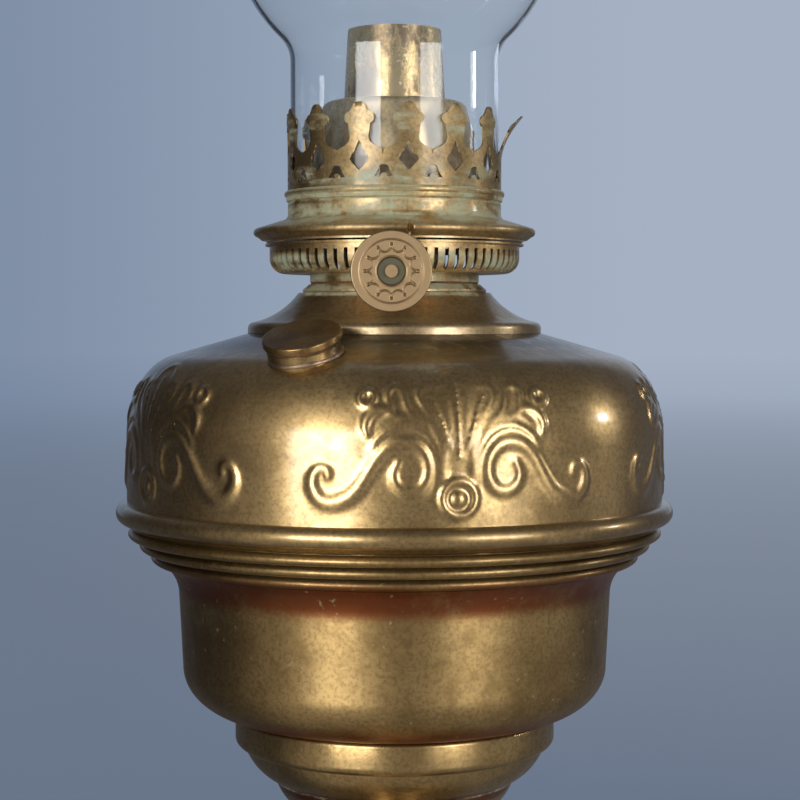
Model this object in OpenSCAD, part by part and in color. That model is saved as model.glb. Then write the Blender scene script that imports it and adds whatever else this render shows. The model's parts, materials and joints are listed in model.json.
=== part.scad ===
// Brass table oil lamp with a round-wick burner, standing on its foot. Millimetres.
// The origin is the centre of the foot's underside, +Z is up and the winder knob faces -Y.

/* [Foot] */
// Radius of the foot over its edge bead
foot_r = 76; // [68:0.5:90]
// Height of the foot from its bottom edge to its neck
foot_h = 62; // [56:0.5:80]
// Radius of the neck at the top of the foot
neck_r = 12.5; // [10.5:0.5:16]
// Radius of the rolled bead round the foot's edge
foot_bead_r = 2.6; // [2:0.1:3.4]
// Width of the foot's low dome inside the edge ridges
foot_dome_w = 24; // [16:0.5:30]
// Rise of the foot's low dome
foot_dome_h = 14; // [9:0.5:18]
// Thickness of the felt pad
felt_t = 1.2; // [0.8:0.1:2]
// Thickness of the base plate
plate_t = 1.5; // [1:0.1:2.5]
// Wall of the spun foot, stem and drop cup
foot_wall = 1.2; // [0.9:0.1:1.6]

/* [Stem] */
// Height of the stem between the foot and the drop cup
stem_h = 44.5; // [34:0.5:60]
// Radius of the stem's knop
knop_r = 19; // [17:0.5:24]
// Half height of the knop
knop_half_h = 10; // [7:0.5:12]
// Radius of the tie rod through the stem
rod_r = 3; // [2.5:0.25:4]
// Size across the flats of the tie rod's nut
nut_flats = 10; // [9:0.5:14]
// Height of the tie rod's nut
nut_h = 5; // [4:0.5:7]
// Thickness of the washer over the nut
washer_t = 1.2; // [0.8:0.1:2]

/* [Drop cup] */
// Height of the drop cup from the stem to the bowl
drop_h = 34.2; // [31:0.1:44]
// Radius of the drop cup's top ring
drop_r = 41; // [38:0.5:44]
// Height of the top ring
ring_h = 8; // [6:0.25:10]
// Height of the tier under the ring
tier_h = 8.6; // [6:0.1:10]
// Step in radius from the ring to the tier
ring_step = 2.1; // [1.5:0.1:3]
// Width of the tier
tier_w = 7.8; // [6:0.1:10]

/* [Font] */
// Radius of the bowl's wall at its top
bowl_r = 55.2; // [52:0.2:58]
// Height of the bowl from its bottom to the rim
bowl_h = 48.6; // [44:0.1:60]
// How much narrower the bowl's wall is at its foot
bowl_draft = 0.9; // [0:0.1:3]
// Width of the bowl's rounded bottom corner
bowl_corner_w = 16.3; // [12:0.1:20]
// Height of the bowl's rounded bottom corner
bowl_corner_h = 12.6; // [9:0.1:15]
// Width of the hollow curve between the bowl's wall and the ridges
cove_w = 4.2; // [3:0.1:6]
// Height of each ridge under the rim
ridge_h = 3.3; // [3:0.05:4.5]
// Radius of the font's upper wall
font_r = 68.2; // [65:0.2:72]
// Radius of the rolled rim bead
rim_bead_r = 3.4; // [3:0.1:4.2]
// Height from the rim's underside to the spring of the dome
font_wall_h = 23; // [16:0.5:34]
// Width of the dome's rounded shoulder
dome_w = 14.5; // [12:0.1:17]
// Height of the dome's rounded shoulder
dome_h = 20.5; // [17:0.1:24]
// Wall of the spun font
font_wall = 0.8; // [0.6:0.05:1.2]

/* [Ornament] */
// Number of ornaments pressed into the font
ornament_n = 5; // [3:1:5]
// Turn of the first ornament round the lamp, from the knob
ornament_az = 8.75; // [0:0.25:20]
// Height of the ornament over the font's wall
relief_h = 0.9; // [0.6:0.05:1.2]
// Half width of an ornament's scroll
scroll_half = 1.25; // [0.9:0.05:1.5]
// Half width of the rib round an ornament's fan
fan_half = 0.8; // [0.6:0.05:1]

/* [Shoulder and collar] */
// Radius of the shoulder dish
dish_r = 37.5; // [34.5:0.25:40]
// Height of the shoulder dish
dish_h = 10.3; // [8.5:0.1:14]
// Radius of the edge of the shoulder dish
dish_edge_r = 1.5; // [1.1:0.1:2]
// Radius of the font collar's flange
collar_r = 23.5; // [23:0.1:25]
// Height of the font collar's flange
collar_h = 2.2; // [2:0.1:3]
// Length of the collar below its flange
spigot_l = 5.5; // [4:0.1:7]
// Thickness of the burner gasket
gasket_t = 0.5; // [0.4:0.05:1]

/* [Filler] */
// How far the filler stands in from the font's upper wall
filler_set = 14.7; // [13.2:0.1:16.2]
// Turn of the filler round the lamp, from the knob
filler_az = -26; // [-60:1:-20]
// Outward lean of the filler
filler_tilt = 22.5; // [18:0.5:26]
// Outer radius of the filler neck
filler_r = 8.7; // [7.5:0.1:9.4]
// Wall of the filler neck
filler_wall = 1.1; // [0.8:0.05:1.4]
// Height of the filler neck above the dome
filler_h = 3; // [2.5:0.1:4.5]
// Length of the filler neck inside the dome
filler_in = 7; // [6:0.25:9]
// Thickness of the filler washer
filler_washer_t = 0.55; // [0.4:0.05:1]
// Radius of the filler cap
cap_r = 9.35; // [9.2:0.05:10.5]
// Thickness of the filler cap's disc
cap_t = 1.8; // [1.4:0.1:2.6]
// Length of the filler cap's plug
plug_l = 4.8; // [3.5:0.1:5.5]

/* [Burner] */
// Radius of the burner's thread
thread_r = 18.9; // [18.3:0.1:19.6]
// Length of the burner's thread
thread_l = 8; // [7:0.1:10]
// Radius of the burner's neck
flange_r = 21.6; // [21.2:0.1:22.2]
// Height of the burner's neck
flange_t = 2.7; // [2.5:0.1:3.2]
// Wall of the burner's threaded base
base_wall = 1.3; // [1:0.1:1.8]
// Sheet thickness of the burner and gallery
sheet = 0.5; // [0.4:0.05:0.7]
// Radius of the air basket
basket_r = 31.4; // [30.6:0.1:33]
// Height of the air basket up to its top flange
basket_h = 7; // [6.5:0.1:9]
// Width of the air basket's rounded bottom corner
basket_corner_w = 3.2; // [2.6:0.1:4]
// Height of the air basket's rounded bottom corner
basket_corner_h = 3.4; // [2.8:0.1:4]
// Number of slots in the air basket
slot_n = 72; // [48:4:80]
// Width of a slot
slot_w = 1; // [0.7:0.1:1.2]
// Height of the deflector cone over its flange
cone_h = 35; // [32:0.5:40]
// Radius of the deflector cone at its shoulder
cone_shoulder_r = 18.6; // [17.5:0.1:20]
// Radius of the rounding of the deflector cone's shoulder
cone_round_r = 2.4; // [1.5:0.1:3]

/* [Wick and tubes] */
// Inner radius of the wick
wick_r = 9.55; // [9.2:0.05:10]
// Thickness of the wick
wick_t = 1.5; // [1.2:0.05:1.7]
// Half angle of the wick's front opening
wick_open = 42; // [40:1:46]
// How far the wick's top stands below the mouth of its tube
wick_below = 1.3; // [0.5:0.1:4]
// Length of the wick's tail below the burner's floor
wick_tail = 86; // [60:1:92]
// Height of the wick tube above the deflector cone
tube_show = 18.5; // [14:0.5:24]
// How much the wick tube narrows to its mouth
tube_taper = 1.1; // [0.8:0.05:1.2]
// Height of the front window in the tubes, above the floor
window_h = 27.8; // [25:0.2:31]
// How far the draught tube stands below the wick tube's mouth
draught_below = 0.5; // [0.2:0.1:2]

/* [Winder] */
// Half the distance between the two winder shafts
shaft_half = 3.2; // [3.1:0.05:3.3]
// Radius of the drive shaft
drive_r = 1.25; // [1:0.05:1.3]
// Radius of the idler shaft
idler_r = 1; // [0.8:0.05:1.1]
// Height of the shafts above the foot of the burner's neck
shaft_h = 1.9; // [1.85:0.05:2.1]
// Number of teeth on a winder wheel
tooth_n = 10; // [8:1:11]
// Tooth height above the pitch circle of a winder wheel
tooth_h = 0.65; // [0.5:0.05:0.7]
// Thickness of a winder wheel
wheel_t = 1; // [0.8:0.05:1.1]
// Radius of the knob
knob_r = 9.6; // [8:0.1:9.8]
// Thickness of the knob's disc
knob_t = 1.4; // [1.2:0.1:2]
// Distance of the knob from the gallery's brim
knob_out = 4.6; // [3:0.1:8]
// Length of the knob's hub
hub_l = 4.4; // [3:0.1:4.8]
// Number of scallops on the knob
scallop_n = 12; // [8:1:14]

/* [Gallery] */
// How far the brim reaches past the air basket
brim_over = 4.6; // [4:0.1:6]
// Height of the gallery ring
gallery_h = 12.5; // [11.5:0.1:16]
// Rise of the brim to the neck
brim_rise = 4.9; // [4:0.1:5.5]
// Radius of the gallery's bead
gallery_bead_r = 0.9; // [0.6:0.05:1.2]
// Height of the crown
crown_h = 20; // [19:0.25:24]
// Number of prongs round the crown
prong_n = 14; // [12:1:14]
// Turn of the first prong round the lamp, from the knob
prong_az = 4; // [-12:1:12]

/* [Chimney] */
// Outer radius of the chimney's base
chimney_r = 26.5; // [25.6:0.1:27.4]
// Thickness of the chimney's glass
glass_t = 1.6; // [1.2:0.1:1.9]
// Height of the chimney
chimney_h = 250; // [200:1:300]
// Radius of the chimney's bulge
bulge_r = 42.2; // [36:0.2:50]
// Height of the bulge's centre above the chimney's base
bulge_h = 69.7; // [60:0.5:80]
// Outer radius of the chimney's tube
tube_r = 20.5; // [18:0.25:24]
// Radius of the curve from the base to the bulge
base_curve_r = 9; // [5:0.5:15]
// Radius of the curve from the bulge to the tube
tube_curve_r = 22; // [12:1:40]

/* [Clearances] */
// Gap between parts that are soldered or pressed together
fit_gap = 0.05; // [0.02:0.01:0.1]
// Running gap round a shaft
run_gap = 0.05; // [0.02:0.01:0.1]
// Gap between a screw and the thread that it turns in
screw_gap = 0.3; // [0.2:0.05:0.4]
// Gap between parts that lift or slide past each other
slide_gap = 0.25; // [0.2:0.05:0.3]

/* [Hidden] */
$fn = 96;
over = 1;

brass = "#a8873f";
dark_brass = "#86692f";
pink_brass = "#c9a173";
steel = "#8f9196";
iron = "#4b4a49";
felt = "#3d5240";
cork = "#9a6f45";
cotton = "#d8d0bb";
glass = "#dfe8ea";

// Heights of the stack, from the felt pad up to the font's dome
foot_z = felt_t;
stem_z = foot_z + foot_h;
drop_z = stem_z + stem_h;
bowl_z = drop_z + drop_h;
rim_z = bowl_z + bowl_h;
spring_z = rim_z + font_wall_h;

// Dome of the font: an elliptical shoulder that runs into a straight cone at its top
dome_turn = 78.5;
dome_slope = dome_h / dome_w / tan(dome_turn);
dome_c = [font_r - dome_w, spring_z];
dome_edge = dome_c + [dome_w * cos(dome_turn), dome_h * sin(dome_turn)];
dome_lap = 5;
dome_hole_r = dish_r - dome_lap;
function cone_z(r) = dome_edge[1] + dome_slope * (dome_edge[0] - r);
function dome_z(r) = r < dome_edge[0] ? cone_z(r)
    : dome_c[1] + dome_h * sqrt(1 - pow((r - dome_c[0]) / dome_w, 2));

// Heights of the stack, from the shoulder dish up to the mouth of the wick tube
dish_z = cone_z(dish_r);
dish_top_z = dish_z + dish_h;
collar_z = dish_top_z + collar_h;
flange_z = collar_z + gasket_t;
basket_z = flange_z + flange_t;
basket_top_z = basket_z + basket_h;
cone_flange_z = basket_top_z + sheet;
gallery_z = cone_flange_z + sheet;
crown_z = gallery_z + gallery_h;
cone_top_z = gallery_z + cone_h;
mouth_z = cone_top_z + tube_show;
thread_z = flange_z - thread_l;

// Ridges, three under the rim and two round the foot's edge
ridge_n = 3;
foot_ridge_n = 2;
ridge_end = 84;
ridge_in = 0.2;
ridge_land = 0.3;
ridge_top_r = font_r - ridge_in;
ridge_w = (ridge_top_r - bowl_r - cove_w) / ridge_n;
ridge_z = rim_z - ridge_land;
cove_turn = 55;
cove_r = cove_w / (1 - cos(cove_turn));
cove_z = ridge_z - ridge_n * ridge_h - cove_r * sin(cove_turn);

// Filler
filler_rho = font_r - filler_set;
filler_bore = filler_r - filler_wall;
plug_r = filler_bore - screw_gap;
plug_wall = 1.1;
cap_z = filler_h + filler_washer_t;
washer_in = 0.2;

// Burner and winder
collar_lip = 1.9;
collar_bore = thread_r + screw_gap;
spigot_r = collar_r - collar_lip;
base_bore = thread_r - base_wall;
floor_rise = 2.8;
floor_z = thread_z + floor_rise;
floor_t = 0.8;
floor_top_z = floor_z + floor_t;
wick_out = wick_r + wick_t;
draught_r = wick_r - slide_gap;
tube_mouth_bore = wick_out + slide_gap + run_gap;
tube_mouth_wall = sheet;
tube_wall = 0.6;
tube_out = tube_mouth_bore + tube_mouth_wall + tube_taper;
tube_bore = tube_out - tube_wall;
taper_in = 0.8;
taper_z = cone_top_z - taper_in;
window_w = 2 * wick_out * sin(wick_open);
shaft_z = flange_z + shaft_h;
wheel_tip = shaft_half + tooth_h;
root_gap = 0.3;
wheel_root = shaft_half - tooth_h - root_gap;
wheel_gap = 0.35;
wheel_y = -sqrt(pow(wick_r, 2) - pow(shaft_half + wheel_tip + wheel_gap, 2)) + wheel_t / 2;
plate_gap = 0.4;
plate_rise = 4.5;
plate_off = 0.8;
plate_w = 2 * (wick_r * sin(wick_open) - plate_gap);
plate_top_z = shaft_z + plate_rise;
back_plate_y = wheel_y + wheel_t / 2 + plate_off;
front_plate_in = 0.5;
front_plate_y = front_plate_in - tube_out;
frame_t = 0.8;
shaft_end = 0.4;
bush_wall = 0.4;
bush_r = drive_r + bush_wall;
bush_end = 0.4;
bush_nose = 6;
bush_l = flange_r + bush_nose - base_bore - bush_end;
bush_y = -base_bore - bush_end;
brim_r = basket_r + brim_over;
knob_y = brim_r + knob_out;

// Gallery
neck_over = 0.45;
gallery_neck_r = chimney_r + slide_gap + neck_over;
gallery_wall = 0.6;
lip_over = 0.4;
lip_r = basket_r + lip_over;
basket_flange_w = 1.6;
basket_flange_r = basket_r + basket_flange_w;
brim_edge_r = 1.05;
brim_edge_h = 1.9;
brim_lip = 0.7;
crown_bore = chimney_r + slide_gap;
crown_out = crown_bore + sheet;
cone_foot_in = 0.3;
cone_foot_r = chimney_r - glass_t - cone_foot_in;
seat_lap = 0.4;
seat_bore = cone_foot_r - seat_lap;

// Points of an elliptical arc round c, from angle a to angle b
function arc(c, rx, ry, a, b, n = 12) =
    [for (i = [0:n]) let (t = a + (b - a) * i / n) c + [rx * cos(t), ry * sin(t)]];

// Points of a round arc from p to q whose radius is k chords; k > 0 bulges to the left
function bow(p, q, k, n = 10) =
    let (d = q - p, l = norm(d), r = abs(k) * l, h = sqrt(r * r - l * l / 4))
    let (c = (p + q) / 2 - sign(k) * h * [-d[1], d[0]] / l)
    let (a = atan2(p[1] - c[1], p[0] - c[0]), turn = -sign(k) * 2 * asin(l / 2 / r))
    arc(c, r, r, a, a + turn, n);

function flip(p) = [for (i = [len(p) - 1:-1:0]) p[i]];

// A path that runs up the outside of a shell, moved inwards by d
function inset(p, d) = [
    for (i = [0:len(p) - 1])
    let (a = p[max(i - 1, 0)], b = p[min(i + 1, len(p) - 1)], t = (b - a) / norm(b - a))
    p[i] + d * [-t[1], t[0]]
];

module turned(path) {
    rotate_extrude() polygon(path);
}

module shell(path, wall) {
    turned(concat(path, flip(inset(path, wall))));
}

module ring(out, bore, z, h) {
    translate([0, 0, z]) difference() {
        cylinder(r = out, h = h);
        translate([0, 0, -over]) cylinder(r = bore, h = h + 2 * over);
    }
}

// Carries its children to a place on the winder, with their z axis towards the front
module winder_at(x, y) {
    translate([x, y, shaft_z]) rotate([90, 0, 0]) children();
}

// Room for the drive shaft's bush through the burner's neck and the bottom of the air basket
module bush_hole() {
    winder_at(-shaft_half, bush_y + over) cylinder(r = bush_r + fit_gap, h = basket_r - base_bore + 2 * over);
}

// Carries its children to the filler, with their z axis along its neck
module filler_at() {
    translate([filler_rho * sin(filler_az), -filler_rho * cos(filler_az), dome_z(filler_rho)])
        rotate([0, 0, filler_az]) rotate([filler_tilt, 0, 0]) children();
}

// Foot and stem

foot_bead_c = [foot_r - foot_bead_r, foot_z + foot_bead_r];
foot_ridge_w = 2.6;
foot_ridge_h = 3;
foot_dome_z = foot_bead_c[1] + foot_bead_r + foot_ridge_n * foot_ridge_h;
foot_dome_r = foot_bead_c[0] - foot_ridge_n * foot_ridge_w;
sweep_r = foot_dome_r - foot_dome_w;
sweep_z = foot_dome_z + foot_dome_h;

foot_path = concat(
    [
        for (k = [0:foot_ridge_n - 1])
        let (r = foot_bead_c[0] - (k + 1) * foot_ridge_w)
        let (z = foot_bead_c[1] + foot_bead_r + k * foot_ridge_h)
        each arc([r, z], foot_ridge_w, foot_ridge_h, 0, ridge_end, 6)
    ],
    arc([sweep_r, foot_dome_z], foot_dome_w, foot_dome_h, 0, ridge_end),
    arc([sweep_r, stem_z], sweep_r - neck_r, stem_z - sweep_z, 270, 180, 16)
);

pad_gap = 0.2;
pad_r = foot_r - 2 * foot_bead_r - pad_gap;
plate_z = foot_z;
weight_z = plate_z + plate_t;
weight_gap = 0.4;
weight_foot = 1;
weight_drop = 18;
weight_top_z = stem_z - weight_drop;
nut_r = nut_flats / 2 / cos(30);
nut_room = 1.5;
nut_sink = 4;
nut_pocket_r = nut_r + nut_room;
nut_pocket_h = nut_h + washer_t + nut_sink;
nut_top_z = weight_z + nut_pocket_h - washer_t;
washer_gap = 0.5;
rod_end = 2;
rod_z = nut_top_z - nut_h - rod_end;
rod_drop = 4;
rod_top_z = bowl_z - rod_drop;
boss_r = 14;
boss_t = 2.5;
boss_hub_wall = 4;
boss_hub_r = rod_r + boss_hub_wall;
boss_hub_h = 10;

module felt_pad() color(felt) {
    cylinder(r = pad_r, h = felt_t);
}

module base_plate() color(steel) {
    translate([0, 0, plate_z]) cylinder(r = pad_r, h = plate_t);
}

module foot() color(brass) {
    bead = arc(foot_bead_c, foot_bead_r, foot_bead_r, -180, 90, 18);
    turned(concat(bead, foot_path, flip(inset(foot_path, foot_wall))));
}

module foot_weight() color(iron) {
    skin = inset(foot_path, foot_wall + weight_gap);
    low_z = weight_z + weight_foot;
    side = [for (p = skin) if (p[1] > low_z && p[1] < weight_top_z && p[0] < pad_r) p];
    low = side[0];
    top = side[len(side) - 1];
    difference() {
        turned(concat([[0, weight_z], [low[0], weight_z]], side, [[0, top[1]]]));
        translate([0, 0, weight_z - over]) cylinder(r = rod_r + weight_gap, h = foot_h);
        translate([0, 0, weight_z - over]) cylinder(r = nut_pocket_r, h = nut_pocket_h + over);
    }
}

module rod_nut() color(steel) {
    translate([0, 0, nut_top_z - nut_h]) difference() {
        cylinder(r = nut_r, h = nut_h, $fn = 6);
        translate([0, 0, -over]) cylinder(r = rod_r + fit_gap, h = nut_h + 2 * over);
    }
}

module rod_washer() color(steel) {
    ring(nut_pocket_r - washer_gap, rod_r + fit_gap, nut_top_z, washer_t);
}

module tie_rod() color(steel) {
    translate([0, 0, rod_z]) cylinder(r = rod_r, h = rod_top_z - rod_z);
}

module stem_knop() color(brass) {
    mid_z = stem_z + stem_h / 2;
    bead = 2;
    quirk = [0.4, 0.6];
    knop_turn = 62;
    cove_bend = 0.8;
    knop_c = [knop_r - knop_half_h, mid_z];
    low = arc([neck_r, stem_z + bead], bead, bead, -90, 90, 8);
    ball = arc(knop_c, knop_half_h, knop_half_h, -knop_turn, knop_turn, 16);
    high = arc([neck_r, drop_z - bead], bead, bead, -90, 90, 8);
    neck_low = [neck_r - quirk[0], stem_z + 2 * bead + quirk[1]];
    neck_high = [neck_r - quirk[0], drop_z - 2 * bead - quirk[1]];
    cove_low = bow(neck_low, ball[0] - quirk, cove_bend, 8);
    cove_high = bow(ball[16] + [-quirk[0], quirk[1]], neck_high, cove_bend, 8);
    shell(concat(low, cove_low, ball, cove_high, high), foot_wall);
}

module drop_cup() color(brass) {
    ring_z = bowl_z - ring_h;
    tier_z = ring_z - tier_h;
    tier_r = drop_r - ring_step;
    cup_r = tier_r - tier_w;
    ring_round = 2;
    quirk = 0.3;
    throat_over = 0.5;
    belly_over = 4.5;
    belly_rise = 0.4;
    lip_w = 7;
    lip_edge = [3, 0];
    lip_round = [0.6, 0.3];
    lip_drop = 1;
    throat_bend = 0.9;
    belly_bend = -0.85;
    tier_bend = -1.23;
    throat = [neck_r + throat_over, drop_z];
    belly = [neck_r + belly_over, drop_z + (tier_z - drop_z) * belly_rise];
    path = concat(
        bow(throat, belly, throat_bend, 6),
        bow(belly + [quirk, quirk], [cup_r - quirk, tier_z - quirk], belly_bend),
        bow([cup_r, tier_z], [tier_r - quirk, ring_z - quirk], tier_bend),
        arc([drop_r - ring_round, ring_z + ring_round], ring_round, ring_round, -80, 0, 6),
        [[drop_r, bowl_z - lip_drop], [drop_r, bowl_z] - lip_round, [drop_r, bowl_z] - lip_edge]
    );
    shell(concat(path, [[drop_r - lip_w, bowl_z]]), foot_wall);
}

module bowl_boss() color(dark_brass) {
    difference() {
        union() {
            translate([0, 0, bowl_z - boss_t]) cylinder(r = boss_r, h = boss_t);
            translate([0, 0, bowl_z - boss_hub_h]) cylinder(r = boss_hub_r, h = boss_hub_h);
        }
        translate([0, 0, bowl_z - boss_hub_h - over])
            cylinder(r = rod_r + fit_gap, h = rod_top_z - bowl_z + boss_hub_h + over + fit_gap);
    }
}

// Font

font_bead_in = 0.6;
font_bead_c = [font_r - font_bead_in, rim_z + rim_bead_r];
font_wall_z = font_bead_c[1] + rim_bead_r;

// The wall and dome of the font, with n steps round the shoulder
function font_skin(n) = concat(
    [[font_r, font_wall_z]],
    arc(dome_c, dome_w, dome_h, 0, dome_turn, n),
    [[dome_hole_r, cone_z(dome_hole_r)]]
);

// Ornament: points are millimetres to the right of its middle and above its foot
ornament_rise = -0.3;
ornament_z = font_wall_z + ornament_rise;
scroll_mid = 20;
scroll_line = [
    [13.4, 14.2], [14.9, 11.2], [13.4, 7.9], [9.8, 7], [6.8, 9.6], [6.5, 14.2], [8.9, 18], [12.6, 19.2],
    [16.4, 17.6], [19.4, 13.4], [23, 7.6], [27, 4.9], [31, 5], [33.5, 8.6], [32.8, 12.4], [30, 12.8],
    [29.6, 10.4]
];
leaf_mid = 14;
leaf_edge = [
    [7, 19.4], [9.4, 23.6], [11.4, 28], [12.4, 30.8], [14.6, 31.2], [16.6, 29.4], [15.8, 26], [19, 26],
    [21.6, 23.4], [21, 19.2], [19, 21.2], [14.6, 22.4], [10.4, 22.2]
];
fan_line = [
    [3.2, 10.4], [3.3, 16.4], [4.6, 22], [7.6, 26.6], [8.8, 29], [7.2, 30.6], [4.4, 30.4], [4.2, 32.4],
    [2.4, 34]
];
flower_c = [0, 5.9];
flower_r = [4.9, 3];
flower_boss_r = 1.9;

// Radius of the font at a height above the ornament's foot
function wall_r(h) =
    dome_c[0] + dome_w * sqrt(1 - pow(max(ornament_z + h - spring_z, 0) / dome_h, 2));

// An ornament's points, flattened where its middle touches the wall; side -1 is the mirror image
function flat_on_wall(line, mid, side) =
    [for (p = line) [side * wall_r(p[1]) * sin((p[0] - mid) / font_r * 180 / PI), p[1]]];

// A smooth line through the points of p, with n steps between each two
function smooth(p, n = 2) = concat(
    [
        for (i = [0:len(p) - 2], k = [0:n - 1])
        let (a = p[max(i - 1, 0)], b = p[i], c = p[i + 1], d = p[min(i + 2, len(p) - 1)], t = k / n)
        b + t / 2 * (c - a + t * (2 * a - 5 * b + 4 * c - d + t * (3 * (b - c) + d - a)))
    ],
    [p[len(p) - 1]]
);

// Outline of a strip along a line
function strip(line, half) = concat(inset(line, half), flip(inset(line, -half)));

// Carries a flat shape through the font's wall, turned round the lamp
module press_at(turn) {
    depth = font_r / 3;
    rotate([0, 0, turn]) translate([0, depth - font_r - over, ornament_z])
        rotate([90, 0, 0]) linear_extrude(depth + 2 * over) children();
}

module ornament(turn) {
    fan = flat_on_wall(fan_line, 0, 1);
    press_at(turn) polygon(strip(concat(fan, flip(flat_on_wall(fan_line, 0, -1))), fan_half));
    press_at(turn) translate(flower_c) difference() {
        circle(r = flower_r[0]);
        circle(r = flower_r[1]);
    }
    press_at(turn) translate(flower_c) circle(r = flower_boss_r);
    for (side = [-1, 1]) {
        press_at(turn + side * scroll_mid / font_r * 180 / PI)
            polygon(strip(flat_on_wall(smooth(scroll_line), scroll_mid, side), scroll_half));
        press_at(turn + side * leaf_mid / font_r * 180 / PI)
            polygon(flat_on_wall(leaf_edge, leaf_mid, side));
    }
}

module relief() {
    skin = font_skin(6);
    intersection() {
        turned(concat(inset(skin, -relief_h), flip(inset(skin, font_wall / 2))));
        for (i = [0:ornament_n - 1]) ornament(ornament_az + i * 360 / ornament_n);
    }
}

module font_bowl() color(brass) {
    corner_r = bowl_r - bowl_draft - bowl_corner_w;
    ridges = [
        for (k = [0:ridge_n - 1])
        let (r = bowl_r + cove_w + k * ridge_w, z = ridge_z - (ridge_n - k - 1) * ridge_h)
        each arc([r, z], ridge_w, ridge_h, -ridge_end, 0, 6)
    ];
    path = concat(
        [[0, bowl_z]],
        arc([corner_r, bowl_z + bowl_corner_h], bowl_corner_w, bowl_corner_h, -90, 0),
        arc([bowl_r + cove_r, cove_z], cove_r, cove_r, 180, 180 - cove_turn, 8),
        ridges,
        [[ridge_top_r, rim_z - ridge_land / 2], [ridge_top_r, rim_z]]
    );
    shell(path, font_wall);
}

module font_top() color(brass) {
    skirt_in = 1.4;
    skirt_r = font_r - skirt_in;
    bead = arc(font_bead_c, rim_bead_r, rim_bead_r, -90, acos(font_bead_in / rim_bead_r), 14);
    skin = font_skin(16);
    inner = flip(inset(skin, font_wall));
    difference() {
        union() {
            turned(concat(bead, skin, inner, [[skirt_r, font_bead_c[1]], [skirt_r, rim_z]]));
            relief();
        }
        filler_at() translate([0, 0, -filler_in - over])
            cylinder(r = filler_r + fit_gap, h = filler_in + filler_h + over);
    }
}

module shoulder_dish() color(brass) {
    edge_rise = 1.3;
    shelf_w = 1.1;
    cove_bend = 1.4;
    edge_c = [dish_r - dish_edge_r, dish_z + fit_gap + edge_rise];
    edge = arc(edge_c, dish_edge_r, dish_edge_r, 0, 78, 6);
    cove = bow(edge[6], [collar_r + shelf_w, dish_top_z], cove_bend);
    inner_edge_r = dish_r - font_wall;
    turned(concat(
        [[dish_r, dish_z + fit_gap]],
        edge,
        cove,
        [[spigot_r + fit_gap, dish_top_z], [spigot_r + fit_gap, dish_top_z - font_wall]],
        flip(inset(concat(edge, cove), font_wall)),
        [[inner_edge_r, cone_z(inner_edge_r) + fit_gap]]
    ));
}

module font_collar() color(brass) {
    edge = 0.3;
    edge_h = 1;
    cone_in = 1.5;
    turned([
        [collar_bore, dish_top_z - spigot_l],
        [spigot_r, dish_top_z - spigot_l],
        [spigot_r, dish_top_z],
        [collar_r - edge, dish_top_z],
        [collar_r, dish_top_z + edge],
        [collar_r, dish_top_z + edge_h],
        [collar_r - cone_in, collar_z],
        [collar_bore, collar_z]
    ]);
}

module filler_neck() color(brass) {
    filler_at() ring(filler_r, filler_bore, -filler_in, filler_in + filler_h);
}

module filler_washer() color(cork) {
    filler_at() ring(filler_r - washer_in, filler_bore, filler_h, filler_washer_t - fit_gap);
}

module filler_cap() color(brass) {
    edge = 0.45;
    disc_t = 1.2;
    hollow_z = cap_z + cap_t - disc_t;
    path = [
        [plug_r - plug_wall, cap_z - plug_l],
        [plug_r, cap_z - plug_l],
        [plug_r, cap_z],
        [cap_r - edge, cap_z],
        [cap_r, cap_z + edge],
        [cap_r, cap_z + cap_t - edge],
        [cap_r - edge, cap_z + cap_t],
        [0, cap_z + cap_t],
        [0, hollow_z],
        [plug_r - plug_wall, hollow_z]
    ];
    filler_at() turned(path);
}

// Burner

module burner_gasket() color(cork) {
    ring(flange_r - washer_in, collar_bore, collar_z, gasket_t);
}

module burner_base() color(brass) {
    slot_spare = 2;
    slot_start = wick_open - 90 - slot_spare;
    difference() {
        union() {
            ring(thread_r, base_bore, thread_z, thread_l + flange_t);
            ring(flange_r, base_bore, flange_z, flange_t);
            translate([0, 0, floor_z]) cylinder(r = base_bore + base_wall / 2, h = floor_t);
        }
        translate([0, 0, floor_z - over])
            rotate_extrude(angle = 360 - 2 * (wick_open - slot_spare), start = slot_start)
            translate([draught_r, 0]) square([wick_out + slide_gap - draught_r, floor_t + 2 * over]);
        bush_hole();
    }
}

module air_basket() color(dark_brass) {
    flange_lap = 2.4;
    slot_low = 0.35;
    slot_high = 1.8;
    slot_in = 0.8;
    bore = flange_r - flange_lap;
    corner_r = basket_r - basket_corner_w;
    corner_c = [corner_r, basket_z + basket_corner_h];
    slot_z = basket_z + slot_low;
    slot_h = basket_h - slot_low - slot_high;
    path = concat(
        [[bore, basket_z]],
        arc(corner_c, basket_corner_w, basket_corner_h, -90, 0),
        [
            [basket_r, basket_top_z],
            [basket_flange_r, basket_top_z],
            [basket_flange_r, cone_flange_z],
            [basket_r - sheet, cone_flange_z]
        ],
        arc(corner_c, basket_corner_w - sheet, basket_corner_h - sheet, 0, -90),
        [[bore, basket_z + sheet]]
    );
    difference() {
        turned(path);
        for (i = [0:slot_n - 1])
            rotate([0, 0, i * 360 / slot_n])
            translate([corner_r + slot_in, -slot_w / 2, slot_z])
            cube([basket_corner_w + over, slot_w, slot_h]);
        bush_hole();
    }
}

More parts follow.
